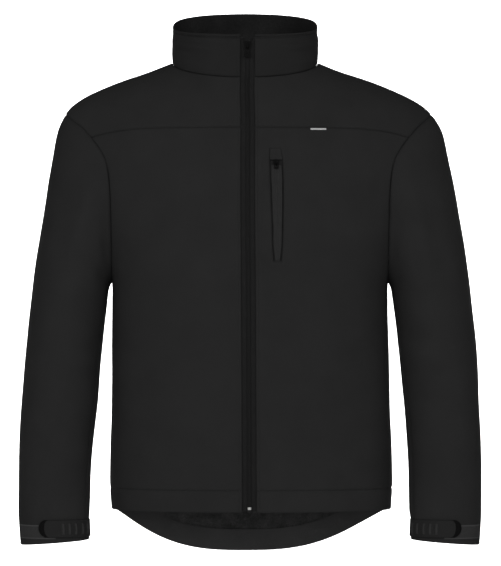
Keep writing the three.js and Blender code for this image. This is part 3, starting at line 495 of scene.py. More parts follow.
def raised(points, creases):
    """How far creases move each point of the cloth out."""
    spots = points.reshape(-1, 3)
    total = np.zeros(len(spots))
    for path, width, depth in creases:
        reach = 2.6 * width
        inside = np.all((spots > path.min(axis=0) - reach) & (spots < path.max(axis=0) + reach), axis=1)
        near = spots[inside]
        if not len(near):
            continue
        closest = np.full(len(near), 1e9)
        place = np.zeros(len(near))
        for n in range(len(path) - 1):
            way = path[n + 1] - path[n]
            t = np.clip((near - path[n]) @ way / (way @ way), 0, 1)
            distance = np.linalg.norm(near - path[n] - t[:, None] * way, axis=1)
            closer = distance < closest
            closest = np.where(closer, distance, closest)
            place = np.where(closer, (n + t) / (len(path) - 1), place)
        total[inside] += depth * np.sin(np.pi * place) ** 0.8 * np.exp(-(closest / width) ** 2)
    return total.reshape(points.shape[:-1]) * sizes().creasing


def unevenness(points):
    """Slow swell of worn cloth, up to half a millimetre."""
    x, y, z = points[..., 0], points[..., 1], points[..., 2]
    wide = np.sin(z / 37 + 1.4 * np.sin(x / 61)) * np.sin(x / 44 + y / 53 + 0.7)
    small = np.sin(z / 15.5 + x / 27) * np.sin(x / 19 - z / 41 + y / 23 + 1.9)
    return (0.42 * wide + 0.16 * small) * sizes().creasing


def body_relief(points):
    """Creases of the fronts, the yokes and the back, calm beside the zip, the pocket and the armholes."""
    x, y, z = points[..., 0], points[..., 1], points[..., 2]
    lines = [(body_at(face, *soft_path(path).T), width, depth) for face, width, depth, path in BODY_CREASES]
    rise = raised(points, lines) + unevenness(points)
    front = y < 0
    calm = np.where(front, ease(np.abs(x), 17, 48), 1)
    pocket = np.hypot(np.maximum(np.abs(x - 41) - 15, 0), np.maximum(np.abs(z + 222) - 92, 0))
    calm = np.where(front, calm * ease(pocket, 2, 26), calm)
    armhole = np.where(z > UNDERARM_Z, armhole_x(np.maximum(z, UNDERARM_Z)) - np.abs(x), 40)
    neck = np.hypot(np.maximum(np.abs(x) - NECK_HALF, 0), np.minimum(z, 0))
    calm = calm * (0.15 + 0.85 * ease(armhole, 0, 24)) * ease(neck, 2, 30)
    right, left = along(FULLNESS, BODY_RIGHT, z), along(FULLNESS, BODY_LEFT, z)
    fuller = right * ease(-x, 150, 205) + left * ease(x, 150, 205)
    return rise * calm + fuller * ease(-z, 330, 370)


def sleeve_relief(side):
    """Creases of one sleeve, calm at the armhole and under the cuff strap."""
    lines = [
        (sleeve_point(*soft_path(path).T) * (side, 1, 1), width, depth)
        for at, width, depth, path in SLEEVE_CREASES if at == side
    ]

    def relief(points):
        z = points[..., 2]
        start = np.linalg.norm(points * (side, 1, 1) - armhole_near(points), axis=-1)
        calm = (0.15 + 0.85 * ease(start, 2, 34)) * ease(z, -712, -668)
        across = (side * points[..., 0] - 222) / 110 + z / 2600 + 0.05
        inner = along(FULLNESS, INNER_LEFT if side > 0 else INNER_RIGHT, z) * (1 - ease(across, 0.1, 0.55))
        outer = along(FULLNESS, OUTER_LEFT if side > 0 else OUTER_RIGHT, z) * ease(across, 0.45, 0.9)
        under = groove(start, 0, 12, 2.6) * ease(z, -310, -225)
        creased = (raised(points, lines) + unevenness(points)) * calm
        return creased + (inner + outer) * ease(start, 2, 40) + under

    return relief


def armhole_near(points):
    """For each point of a sleeve, the point of the armhole at the same height on the same face."""
    z = np.clip(points[..., 2], UNDERARM_Z, SHOULDER_Z)
    face = np.where(points[..., 1] < 0, -1, 1)
    x = armhole_x(z)
    front, back = body_at(-1, x, z), body_at(1, x, z)
    return np.where((face < 0)[..., None], front, back)


def ways_out(points, heart):
    """Unit directions out of a grid of points, away from a point in the hollow."""
    way = np.cross(np.gradient(points, axis=1), np.gradient(points, axis=0))
    way /= np.maximum(np.linalg.norm(way, axis=-1, keepdims=True), 1e-9)
    m, n = points.shape[0] // 2, points.shape[1] // 2
    return way if way[m, n] @ (points[m, n] - heart) > 0 else -way


def sides_of(points):
    """Distance of each point of a grid from its four sides, along the cloth."""
    across, up = runs(points, 1), runs(points, 0)
    return {"left": across, "right": across[:, -1:] - across, "low": up, "top": up[-1:] - up}


def rolled(distance):
    """How far the cloth rolls in beside a sewn edge."""
    return -sizes().seam_dip / MM * fading(distance, sizes().seam_reach / MM)


def groove(distance, place, width, depth):
    """A soft line pressed into the cloth at a distance from an edge."""
    return -depth * np.exp(-((distance - place) / width) ** 2)


def fading(distance, reach):
    """1 at an edge and 0 from a reach on, in a curve."""
    return np.clip(1 - distance / reach, 0, 1) ** 2


def zip_lip(from_zip, high):
    """Raised lip beside the zip, with its stitch line pressed in."""
    return high * (1 - ease(from_zip, 2.8, 4.2)) + groove(from_zip, ZIP_STITCH, 1.0, 0.35)


def hem_fold(from_hem, run, waver):
    """Turned-up hem: its thickness, its stitch line and the waves that the sewing draws in."""
    pucker = 0.22 * np.sin(run + waver) * np.exp(-((from_hem - HEM_HIGH) / 9) ** 2)
    return groove(from_hem, HEM_HIGH, 1.3, 1.3) + 0.35 * (1 - ease(from_hem, HEM_HIGH - 6, HEM_HIGH)) + pucker


ALL_SIDES = ("left", "right", "low", "top")


def nearest_edge(sides, names=ALL_SIDES):
    return np.minimum.reduce([sides[name] for name in names])


# Outer face of each finished panel, for the sewing that lies on it
FACES = {}


def shell(name, outer, inner, flat, skins, kept=None):
    """Closed wall between two grids of points, with the skins of its outer and inner face."""
    m, n = outer.shape[0] - 1, outer.shape[1] - 1
    there = np.ones((m, n), bool) if kept is None else kept
    index = np.arange((m + 1) * (n + 1)).reshape(m + 1, n + 1)
    far = index.size
    a, b, c, d = index[:-1, :-1], index[:-1, 1:], index[1:, 1:], index[1:, :-1]
    front = np.stack([a, b, c, d], -1)[there]
    back = np.stack([d, c, b, a], -1)[there] + far
    ring = np.pad(there, 1)
    rims = []
    for down, along_row, p, q in ((-1, 0, b, a), (0, 1, c, b), (1, 0, d, c), (0, -1, a, d)):
        beside = ring[1 + down:m + 1 + down, 1 + along_row:n + 1 + along_row]
        rims.append(np.stack([p, q, q + far, p + far], -1)[there & ~beside])
    faces = np.concatenate([front, back, *rims])
    skin = np.zeros(len(faces), int)
    skin[len(front):len(front) + len(back)] = 1
    used, faces = np.unique(faces, return_inverse=True)
    faces = faces.reshape(-1, 4)
    points = np.concatenate([outer.reshape(-1, 3), inner.reshape(-1, 3)])[used]
    places = np.concatenate([flat.reshape(-1, 2)] * 2)[used]
    return mesh_object(name, points, faces, skin, places, skins)


def mesh_object(name, points, faces, skin, places, skins):
    """Object of a closed mesh in millimetres, its faces turned out, with its UV map in metres."""
    p0, p1, p2, p3 = (points[faces[:, k]] for k in range(4))
    volume = np.sum(p0 * np.cross(p1, p2)) + np.sum(p0 * np.cross(p2, p3))
    if volume < 0:
        faces = faces[:, ::-1]
    points = leaned(points)
    mesh = bpy.data.meshes.new(name)
    mesh.from_pydata((points * MM).tolist(), [], faces.tolist())
    layer = mesh.uv_layers.new(name="cloth")
    layer.data.foreach_set("uv", (places[faces.ravel()] * MM).ravel())
    for material in skins:
        mesh.materials.append(material)
    if len(skins) > 1:
        mesh.polygons.foreach_set("material_index", skin)
    mesh.shade_smooth()
    mesh.set_sharp_from_angle(angle=math.radians(48))
    return linked(bpy.data.objects.new(name, mesh))


def linked(made):
    bpy.context.scene.collection.objects.link(made)
    return made


def leaned(points):
    """Points moved with the sideways lean of the shoulders and the collar."""
    points = np.array(points, float)
    points[..., 0] += along(LEAN, 1, points[..., 2])
    return points


# Width of the edge that is tucked under the next panel
TUCK_REACH = 2.6


def panel(name, base, heart, skins, sewn=(), relief=None, thick=WALL, detail=None, kept=None, tuck=None):
    """Cloth panel on a grid of the solid's outer points, creased, with its sewn edges rolled in.

    A tuck moves the low edge on and in by two lengths, under the wall of the panel that it is sewn to.
    """
    heart = np.array(heart, float)
    if relief:
        base = base + ways_out(base, heart) * relief(base)[..., None]
    if tuck:
        part = np.clip(1 - sides_of(base)["low"] / TUCK_REACH, 0, 1)[..., None]
        on = base[0] - base[3]
        on /= np.linalg.norm(on, axis=-1, keepdims=True)
        base = base + part * on * tuck[0] - part ** 2 * ways_out(base, heart) * tuck[1]
    ways = ways_out(base, heart)
    sides = sides_of(base)
    rise = sum(rolled(sides[side]) for side in sewn) if sewn else np.zeros(base.shape[:2])
    if detail:
        rise = rise + detail(sides)
    outer = base + ways * rise[..., None]
    inner = base - ways * np.maximum(thick, thick / 2 - rise)[..., None]
    FACES[name] = (outer, ways)
    flat = np.stack([sides["left"], sides["low"]], axis=-1)
    return shell(name, outer, inner, flat, skins, kept)


def dressed(made, nodes, body="jacket"):
    """Ties a finished piece to its body and hides the CAD nodes that it replaces."""
    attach(made, body)
    if nodes:
        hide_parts(*nodes)
    return made


# Points in the hollow that tell each piece which way is out
BODY_HEART = (0, 0, -250)
COLLAR_HEART = (0, 0, 20)
ZIP_HEART = (0, 200, -250)
UNDERARM_HEART = (150, 0, -230)


def front_grid(side, levels, columns):
    """Grid of a front's outer face; columns are (stretch, part) along zip, window, rest."""
    levels = np.asarray(levels, float)[:, None]
    top_level = yoke_z(40) - HALF_GAP

    def height_at(level, x):
        part = np.maximum(0, (level - UNDERARM_Z) / (top_level - UNDERARM_Z))
        return level + (yoke_z(x) - yoke_z(40)) * part ** 3

    def half(z):
        return along(BODY, HALF, z)

    stop = math.pi / 2 - HALF_GAP / along(BODY, FRONT, levels)
    above = levels > UNDERARM_Z
    end, end_z = stop, levels
    for _ in range(6):
        end = np.where(above, np.minimum(stop, turn_of(armhole_x(end_z) / half(end_z))), stop)
        end_z = np.where(above, height_at(levels, armhole_x(end_z)), levels)
    start = turn_of(zip_edge(side, levels) / half(levels))
    left = turn_of(along(WINDOW, WINDOW_LEFT, levels) / half(levels))
    right = turn_of(along(WINDOW, WINDOW_RIGHT, levels) / half(levels))
    by_zip, in_window, beyond = columns
    turn = np.concatenate([
        mix(start, left, by_zip[None, :]),
        mix(left, right, in_window[None, 1:]),
        mix(right, end, beyond[None, 1:]),
    ], axis=1)
    across, deep = parts_of(turn)
    z = np.broadcast_to(levels, turn.shape)
    x = across * half(z)
    for _ in range(5):
        z = height_at(levels, x)
        x = across * half(z)
    angle = angle_of(-1, x, z)
    y = -along(BODY, FRONT, z) * deep * np.where(angle > 0, np.cos(angle), 1)
    return np.stack([side * x, y, z], axis=-1)


# Stretches of a front's columns beside the zip and beyond the window in millimetres, only to space them
BY_ZIP = 20.0
BEYOND = 205.0


def front_columns():
    by_zip = spread(0, BY_ZIP, (0.7, 1.5, 2.6, 3.5, 4.2, 4.9, 6.5), (0.7, 1.5, 2.6), 2.6) / BY_ZIP
    in_window = np.linspace(0, 1, 6)
    beyond = spread(0, BEYOND, (0.7, 1.5, 2.6, 4.2), EDGE) / BEYOND
    return by_zip, in_window, beyond


def make_front(side, name):
    """One front: rolled lip at the zip, turned-up hem, and on the left the pocket's window."""
    columns = front_columns()
    lower = spread(HEM_Z, HEM_STITCHED[0], EDGE)
    line = HEM_STITCHED
    middle = spread(line[-1], WINDOW_LOW, BARE, EDGE)
    window = spread(WINDOW_LOW, WINDOW_TOP, EDGE, EDGE)
    upper = spread(WINDOW_TOP, yoke_z(40) - HALF_GAP, EDGE, EDGE)
    levels = joined(lower, line, middle, window, upper)
    base = front_grid(side, levels, columns)
    first = len(columns[0]) - 1
    last = first + len(columns[1]) - 1
    low = len(joined(lower, line, middle)) - 1
    high = low + len(window) - 1
    kept = np.ones((len(levels) - 1, base.shape[1] - 1), bool)
    has_window = side > 0
    if has_window:
        kept[low:high, first:last] = False

    def detail(sides):
        from_zip, from_hem = sides["left"], sides["low"]
        rise = zip_lip(from_zip, 0.55) + zip_pucker(from_zip, from_hem)
        rise = rise + hem_fold(from_hem, from_zip / 5.3, 0)
        if has_window:
            left, right = from_zip[:, first:first + 1], from_zip[:, last:last + 1]
            beside = np.maximum(left - from_zip, from_zip - right)
            above = np.maximum(from_hem[low:low + 1] - from_hem, from_hem - from_hem[high:high + 1])
            around = np.hypot(np.maximum(beside, 0), np.maximum(above, 0))
            rise = rise + rolled(around) + 0.3 * np.exp(-((around - 3.5) / 3) ** 2)
        return rise

    thick = WALL + 1.1 * (1 - ease(base[..., 2] - HEM_Z, HEM_HIGH - 1.5, HEM_HIGH))
    made = panel(name, base, BODY_HEART, (softshell(), fleece()), ALL_SIDES, body_relief, thick, detail, kept)
    return dressed(made, (name,))


def zip_pucker(from_zip, run):
    """Small waves that the zip's sewing draws into the cloth beside it."""
    return 0.2 * np.sin(run / 6.1 + 1.2 * np.sin(run / 23)) * np.exp(-((from_zip - 8) / 6) ** 2)


def neck_place(face, x, under):
    """Place on the neck seam, or a little under it."""
    drop = NECK_DROP[face] * np.sqrt(np.maximum(0, 1 - (x / NECK_HALF) ** 2))
    return x, np.minimum(angle_of(face, x, -drop - under), ridge_angle(face, x))


def armhole_place(face, z):
    x = armhole_x(z)
    return x, np.minimum(angle_of(face, x, z), ridge_angle(face, x))


def yoke_edges(side, u, v):
    """Edges of a front yoke's patch at parts across and up; a third of the left edge runs along the zip."""
    low_x = armhole_x(yoke_z(armhole_x(-119)) + HALF_GAP)
    start_x = zip_edge(side, yoke_z(0))
    top_x = zip_edge(side, -26)

    def low_curve(t):
        x = mix(start_x, low_x, t)
        return x, angle_of(-1, x, yoke_z(x) + HALF_GAP)

    def top_curve(t):
        x = mix(NECK_HALF, SHOULDER_X, t)
        return x, ridge_angle(-1, x)

    def right_curve(t):
        return armhole_place(-1, mix(yoke_z(low_x) + HALF_GAP, SHOULDER_Z, 1 - (1 - t) ** 2))

    def zip_curve(t):
        drop = NECK_DROP[-1] * math.sqrt(1 - (top_x / NECK_HALF) ** 2)
        z = mix(yoke_z(0) + HALF_GAP, -drop - HALF_GAP, t)
        x = zip_edge(side, z)
        return x, angle_of(-1, x, z)

    def neck_curve(t):
        return neck_place(-1, mix(top_x, NECK_HALF, np.sin(t * math.pi / 2)), HALF_GAP)

    low, top = evenly(low_curve, -1, u), evenly(top_curve, -1, u)
    right = evenly(right_curve, -1, v)
    on_zip = v <= 1 / 3 + 1e-9
    left = np.concatenate([
        evenly(zip_curve, -1, v[on_zip] * 3),
        evenly(neck_curve, -1, (v[~on_zip] - 1 / 3) * 1.5),
    ])
    low[-1], low[0], left[-1], right[-1] = right[0], left[0], top[0], top[-1]
    return low, top, left, right


def make_yoke(side, name):
    """Front yoke from the yoke seam to the neck seam and the shoulder line."""
    wide, tall = 240.0, 150.0
    u = spread(0, wide, EDGE, EDGE) / wide
    v = joined(spread(0, tall / 3, EDGE, (2.4,)), spread(tall / 3, tall, (2.4,), EDGE)) / tall
    places = patch(*yoke_edges(side, u, v), u, v)
    base = body_point(-1, places[..., 0], places[..., 1]) * (side, 1, 1)
    on_zip = (v <= 1 / 3 + 1e-9)[:, None]

    def detail(sides):
        from_zip, from_seam = sides["left"], sides["low"]
        rise = np.where(on_zip, zip_lip(from_zip, 0.55) + zip_pucker(from_zip, from_seam), 0)
        pucker = 0.16 * np.sin(from_zip / 4.7 + 1.1 * np.sin(from_zip / 19)) * np.exp(-(from_seam / 7) ** 2)
        seam = groove(from_seam, 0, 1.8, 0.9) + groove(from_seam, 2.6, 1.0, 0.25)
        return rise + seam + 0.25 * (1 - ease(from_seam, 2.6, 6)) + pucker

    made = panel(name, base, BODY_HEART, (softshell(), fleece()), ALL_SIDES, body_relief, WALL, detail)
    return dressed(made, (name,))


def tail_drop(part):
    """Drop of the back hem below the front hem, by the part of the half width."""
    return TAIL_DROP * (1 - np.minimum(part, 1) ** 2.8) ** 1.12


def back_rows(levels, u):
    """Level rows of the back as points and shoulder angles; u runs from -1 to 1 round the back."""
    levels = np.asarray(levels, float)[:, None]
    row = np.interp(levels, TAIL_ROWS, np.arange(len(TAIL_ROWS)))
    share = np.maximum(0, 1 - row / 5) ** 1.5
    tail_u = np.abs(u + TAIL_SHIFT * (1 - u ** 2))
    z = levels - tail_drop(parts_of(tail_u * math.pi / 2)[0]) * share
    end = math.pi / 2 - HALF_GAP / along(BODY, BACK, z)
    armhole = turn_of(armhole_x(z) / along(BODY, HALF, z))
    end = np.where(z > UNDERARM_Z, np.minimum(end, armhole), end)
    across, deep = parts_of(np.abs(u) * end)
    x = np.sign(u) * across * along(BODY, HALF, z)
    angle = angle_of(1, x, z)
    y = along(BODY, BACK, z) * deep * np.where(angle > 0, np.cos(angle), 1)
    return np.stack([x, y, z], axis=-1), angle


# Part of the half back, from its middle, whose top edge is the neck seam
NECK_PART = 0.6


def back_armhole(v):
    """Places on the back's armhole edge from the shoulder blades to the shoulder, at parts of its length."""
    return evenly(lambda t: armhole_place(1, mix(BLADE_Z, SHOULDER_Z, 1 - (1 - t) ** 2)), 1, v)


def back_grid(levels, u, v):
    """Grid of the back's outer face: level rows to the shoulder blades, a patch to neck and shoulders."""
    rows, angles = back_rows(levels, u)
    half = u[u >= 0]
    in_neck = half <= NECK_PART + 1e-9
    neck = evenly(
        lambda t: neck_place(1, NECK_HALF * np.sin(t * math.pi / 2), HALF_GAP), 1, half[in_neck] / NECK_PART)
    shoulder = evenly(
        lambda t: (mix(NECK_HALF, SHOULDER_X, t), ridge_angle(1, mix(NECK_HALF, SHOULDER_X, t))), 1,
        (half[~in_neck] - NECK_PART) / (1 - NECK_PART))
    one_side = np.concatenate([neck, shoulder])
    top = np.concatenate([one_side[:0:-1] * (-1, 1), one_side])
    low = np.stack([rows[-1, :, 0], angles[-1]], axis=-1)
    right = back_armhole(v)
    right[0], right[-1] = low[-1], top[-1]
    places = patch(low, top, right * (-1, 1), right, (u + 1) / 2, v)
    return np.concatenate([rows, body_point(1, places[..., 0], places[..., 1])[1:]])


def make_back():
    """Back with its longer rounded hem."""
    half_wide, tall = 260.0, 165.0
    by_neck = NECK_PART * half_wide
    half = joined(spread(0, by_neck, (), (2.4,)), spread(by_neck, half_wide, (2.4,), EDGE))
    u = np.concatenate([-half[:0:-1], half]) / half_wide
    lower = spread(HEM_Z, HEM_STITCHED[0], EDGE)
    levels = joined(lower, HEM_STITCHED, spread(HEM_STITCHED[-1], BLADE_Z, BARE))
    v = spread(0, tall, (), EDGE) / tall
    base = back_grid(levels, u, v)

    def detail(sides):
        return hem_fold(sides["low"], sides["left"] / 5.6, np.sin(sides["left"] / 31))

    made = panel("back", base, BODY_HEART, (softshell(), fleece()), ALL_SIDES, body_relief, WALL, detail)
    return dressed(made, ("back",))


def make_tail_facing():
    """Turned-up hem inside the back."""
    u = np.linspace(-0.965, 0.965, 100)
    low = back_rows([HEM_Z], u)[0][0]
    up = np.array([0, 0.9, 2, 4, 8, 13, 18, 23, 27, 30, 31.6, 32.4, 33])
    spots = body_at(1, low[None, :, 0], low[None, :, 2] + 0.5 + up[:, None])
    out = spots * (1, 1, 0)
    out /= np.linalg.norm(out, axis=-1, keepdims=True)
    spots = spots + out * (body_relief(spots) - WALL - GAP - 0.4)[..., None]

    def detail(sides):
        return 0.25 * np.sin(sides["left"] / 6.3 + np.sin(sides["left"] / 40)) * ease(sides["low"], 18, 33)

    # Both faces take the lightened facing colour: painted light inside the tail
    skins = (hem_facing_painted_light(), hem_facing_painted_light())
    made = panel("tail_facing", spots, BODY_HEART, skins, (), None, FACING_WALL, detail)
    return dressed(made, ("tail_facing",))


# Columns of the collar from the zip to the side and over half the back
COLLAR_FRONT_LONG = 125.0
COLLAR_BACK_LONG = 250.0

# Collar's rim: half width, depth forward and back, and height over the sides
RIM_HALF = 112
RIM_FRONT = 76
RIM_BACK = 61
RIM_Z = 55


def neck_line(by_zip, behind):
    """Neck seam from the zip round by the left, the back and the right to the zip again."""
    def quarter(face, start, fractions):
        def curve(t):
            return neck_place(face, mix(start, NECK_HALF, np.sin(t * math.pi / 2)), 0)
        places = evenly(curve, face, fractions)
        return body_point(face, places[:, 0], places[:, 1])

    left = quarter(-1, zip_edge(1, 0), by_zip)
    right = quarter(-1, zip_edge(-1, 0), by_zip)[::-1] * (-1, 1, 1)
    half = behind[behind <= 0.5 + 1e-9] * 2
    back_left = quarter(1, 0.0, 1 - half)
    back_right = back_left[::-1] * (-1, 1, 1)
    ring = np.concatenate([left[:-1], back_left, back_right[1:], right[1:]])
    side = len(left) - 1
    ring[side] = (NECK_HALF, 0, 0)
    ring[-len(right)] = (-NECK_HALF, 0, 0)
    return ring


def rim_line(by_zip, behind):
    """Rim of the collar, point for point over the neck seam."""
    start = math.asin(zip_edge(1, 0) / RIM_HALF)
    end = math.asin(zip_edge(-1, 0) / RIM_HALF)
    turn = np.concatenate([
        mix(start, math.pi / 2, by_zip[:-1]),
        math.pi * (0.5 + behind),
        mix(math.pi * 1.5, 2 * math.pi - end, 1 - by_zip[::-1])[1:],
    ])
    c = np.cos(turn)
    behind_rise = 25.3 * np.maximum(-c, 0) ** 0.7
    rise = np.where(c > 0, 5 * c * c - 20.3 * c, behind_rise)
    y = np.where(c > 0, -RIM_FRONT, -RIM_BACK) * c
    return np.stack([RIM_HALF * np.sin(turn), y, RIM_Z + rise], axis=-1)


def collar_columns():
    by_zip = spread(0, COLLAR_FRONT_LONG, (0.7, 1.5, 2.6, 3.5, 4.2, 4.9, 6.5), (), 3.4) / COLLAR_FRONT_LONG
    half = spread(0, COLLAR_BACK_LONG / 2, (), (), 3.4) / COLLAR_BACK_LONG
    return by_zip, np.concatenate([half, 1 - half[-2::-1]])


def collar_grid(parts, set_back=0.0):
    """Grid of the collar's outer face at parts of its height."""
    by_zip, behind = collar_columns()
    if set_back:
        rest = by_zip[by_zip > (set_back + 1) / COLLAR_FRONT_LONG]
        by_zip = np.concatenate([[set_back / COLLAR_FRONT_LONG], rest])
    low, rim = neck_line(by_zip, behind) + (0, 0, 0.4), rim_line(by_zip, behind)
    parts = np.asarray(parts)[:, None, None]
    spots = mix(low[None], rim[None], parts)
    out = spots * (1, 1, 0)
    out /= np.linalg.norm(out, axis=-1, keepdims=True)
    return spots + out * 1.6 * np.sin(math.pi * parts)


def collar_relief(points):
    """Creases of the collar, calm beside the zip."""
    turn = np.arctan2(points[..., 0], -points[..., 1])
    lines = []
    for width, depth, path in COLLAR_CREASES:
        place = soft_path(path)
        at, part = place[:, 0], place[:, 1]
        c = np.cos(at)
        x = RIM_HALF * np.sin(at)
        low = np.stack([x, np.where(c > 0, -94, -80) * c, np.where(c > 0, -25, 12) * c], -1)
        rim = np.stack([x, np.where(c > 0, -RIM_FRONT, -RIM_BACK) * c, RIM_Z - 20.3 * c + 5 * c * c], -1)
        lines.append((mix(low, rim, part[:, None]), width, depth))
    swell = 0.5 * np.sin(turn * 7 + points[..., 2] / 16) * np.sin(points[..., 2] / 14 + 0.8)
    return (raised(points, lines) + swell * sizes().creasing) * ease(np.abs(turn), 0.16, 0.34)


def make_collar():
    """Stand-up collar and its brushed lining."""
    tall = 68.0
    stops = spread(0, tall, (0.7, 1.5, 2.6, 4.2), (0.5, 1.1, 2.0, 3.0, 3.8, 4.6, 5.4, 6.4, 7.6), 3.0) / tall
    base = collar_grid(stops)
    base = base + ways_out(base, np.array(COLLAR_HEART)) * collar_relief(base)[..., None]

    turn = np.arctan2(base[..., 0], -base[..., 1])

    def lips(sides):
        from_zip = np.minimum(sides["left"], sides["right"])
        rim = groove(sides["top"], 4.8, 1.5, 2.6) + 0.3 * (1 - ease(sides["top"], 3, 4.6))
        foot = groove(sides["low"], 0, 2.4, 1.3) * (1 - ease(np.abs(turn), 0.95, 1.3))
        return zip_lip(from_zip, 0.5) + rim - fading(sides["top"], 2.0) + foot

    # The collar's outer face takes the softshell darkened as painted shade
    outer = panel("collar", base, COLLAR_HEART, (collar_cloth_painted_shade(), collar_fleece()), ("left", "right", "low"),
                  None, COLLAR_WALL, lips, None, (2.2, 0.6))
    dressed(outer, ("collar",))
    lining_base = collar_grid(stops * 0.985, 6.0)
    inward = ways_out(lining_base, np.array(COLLAR_HEART))
    shift = collar_relief(lining_base) - COLLAR_WALL - GAP
    lining_base = lining_base + inward * shift[..., None]
    lining = panel("collar_lining", lining_base, COLLAR_HEART, (collar_fleece(), collar_fleece()), (), None,
                   LINING_WALL, lambda sides: 0.9 * (1 - ease(sides["top"], 0, 4)))
    dressed(lining, ("collar_lining",))


FRONT_CELLS = 14
BACK_CELLS = 11


def armhole_table():
    """Armhole seam by cell, up the front and the yoke and down the back, and its angle."""
    ends = (np.array([0.0, 1.0]),) * 3
    front = front_grid(1, FRONT_ROWS + (yoke_z(40) - HALF_GAP,), ends)[:, -1]
    yoke = yoke_edges(1, np.array([0.0, 1.0]), np.linspace(0, 1, 7))[3]
    front = np.concatenate([front, body_point(-1, yoke[:, 0], yoke[:, 1])[1:]])
    back = back_rows(BACK_ROWS, np.array([1.0]))[0][:, 0]
    upper = back_armhole(np.linspace(0, 1, 7))
    back = np.concatenate([back, body_point(1, upper[:, 0], upper[:, 1])[1:]])[::-1]
    loop = np.concatenate([front[:-1], back])
    loop[FRONT_CELLS, 1] = 0
    run = runs(loop)
    top = run[FRONT_CELLS]
    angle = np.pi * np.where(run <= top, run / top, 1 + (run - top) / (run[-1] - top))
    return np.column_stack([np.arange(len(loop)), loop, angle])


LOOP = armhole_table()


def sleeve_point(k, turn):
    """Point of the left sleeve's outer face: ring number, and angle from the inner side over the front."""
    k, turn = np.broadcast_arrays(np.asarray(k, float), np.asarray(turn, float))

    def value(column):
        return along(SLEEVE, column, k)

    zero = np.zeros(k.shape)
    inner = np.stack([value(INNER_X), zero, value(INNER_Z)], -1)
    chord = np.stack([value(OUTER_X), zero, value(OUTER_Z)], -1) - inner
    roundness = value(ROUND)
    even = np.where(turn > 2 * np.pi, turn - 2 * np.pi, np.maximum(turn, 0))
    spot = np.where(even <= np.pi, even / np.pi * FRONT_CELLS, FRONT_CELLS + (even / np.pi - 1) * BACK_CELLS)
    loop = np.stack([along(LOOP, column, spot) for column in (1, 2, 3)], -1)
    start = np.array([SLEEVE[0, INNER_X], 0, SLEEVE[0, INNER_Z]])
    first = np.array([SLEEVE[0, OUTER_X], 0, SLEEVE[0, OUTER_Z]]) - start
    size = np.linalg.norm(first)
    beyond = loop - start
    loop_part = beyond @ first / size ** 2
    loop_off = (beyond[..., 0] * first[2] - beyond[..., 2] * first[0]) / size
    angle = mix(along(LOOP, 4, spot) + np.where(turn > 2 * np.pi, 2 * np.pi, 0), turn, roundness)
    part = mix(loop_part, (1 - np.cos(angle)) / 2, roundness)
    off = loop_off * (1 - roundness)
    deep = np.where(np.sin(turn) > 0, value(SLEEVE_FRONT), value(SLEEVE_BACK))
    loop_y = loop[..., 1] / np.where(loop[..., 1] < 0, SLEEVE[0, SLEEVE_FRONT], SLEEVE[0, SLEEVE_BACK])
    y = deep * mix(loop_y, -np.sign(np.sin(angle)) * np.abs(np.sin(angle)) ** 0.92, roundness)
    side = np.stack([chord[..., 2], zero, -chord[..., 0]], -1)
    side /= np.linalg.norm(side, axis=-1, keepdims=True)
    spot = inner + chord * part[..., None] + side * off[..., None]
    spot[..., 1] = y + value(SLEEVE_Y)
    return spot


def sleeve_grid():
    """Grid of the left sleeve's outer face."""
    ring_step = 58.0
    rings = spread(0, LAST_RING * ring_step, EDGE, EDGE) / ring_step
    front = spread(0, FRONT_CELLS, (0.03, 0.07, 0.13, 0.22), (), 0.24)
    back = spread(0, BACK_CELLS, (), (0.03, 0.07, 0.13, 0.22), 0.22)
    even = np.pi * np.concatenate([front / FRONT_CELLS, 1 + back[1:] / BACK_CELLS])
    k, even = rings[:, None], even[None, :]
    edge = HALF_GAP / along(SLEEVE, SLEEVE_FRONT, k)
    turn = np.clip(even, edge, 2 * np.pi - edge) + along(SLEEVE, SEAM, k)
    return sleeve_point(k, turn)


# How far the sleeve's edge is tucked into the body at the underarm, and over what width
UNDERARM_TUCK = 4.6
UNDERARM_REACH = 4.5


def make_sleeve(side, name):
    """One sleeve: a tube from the armhole to the cuff, sewn along its inner side."""
    base = sleeve_grid() * (side, 1, 1)
    inward = np.array(UNDERARM_HEART) * (side, 1, 1) - base
    inward /= np.linalg.norm(inward, axis=-1, keepdims=True)
    near = np.clip(1 - sides_of(base)["low"] / UNDERARM_REACH, 0, 1) * (1 - ease(base[..., 2], -240, -170))
    base = base + inward * UNDERARM_TUCK * near[..., None]

    def detail(sides):
        cuff = sides["top"]
        seam = np.minimum(sides["left"], sides["right"])
        return groove(seam, 0, 3.4, 1.4) + groove(cuff, 5.0, 0.9, 0.3) + 0.2 * (1 - ease(cuff, 3.5, 5))

    made = panel(name, base, (side * 285, 0, -420), (softshell(), fleece()), ALL_SIDES,
                 sleeve_relief(side), WALL, detail, None, (1.8, 0.6))
    return dressed(made, (name,))


def ring_at(z, turn):
    """Ring number where the sleeve passes a height at an angle."""
    low, high = np.full(np.shape(turn), 5.0), np.full(np.shape(turn), LAST_RING)
    for _ in range(30):
        middle = (low + high) / 2
        above = sleeve_point(middle, turn)[..., 2] > z
        low, high = np.where(above, middle, low), np.where(above, high, middle)
    return (low + high) / 2


def cuff_band(low_z, high_z, start, end, rounding, u, v):
    """Grid of a band on the sleeve's face; the end may be round."""
    u, v = u[None, :], v[:, None]
    stop = end - rounding * (1 - np.sqrt(np.maximum(0, 1 - (2 * v - 1) ** 2 * 0.94)))
    turn = mix(start, stop, u)
    z = np.broadcast_to(mix(low_z, high_z, v), turn.shape)
    return sleeve_point(ring_at(z, turn), turn)


PILE_HIGH = 21.5
SELVEDGE = 2.0
STRAP_HIGH = 27.0
STRAP_LONG = 128.0
RIBS = (0.29, 0.403, 0.517, 0.61, 0.692)
RIB_HALF = 0.015
# Part of the strap's length at its tip that takes the near-black painted shadow
TIP_SHADOW_PART = 0.075


def painted(made, chosen, skin):
    """Gives chosen faces of a panel's outer side another of its skins."""
    for face in np.flatnonzero(chosen):
        made.data.polygons[face].material_index = skin


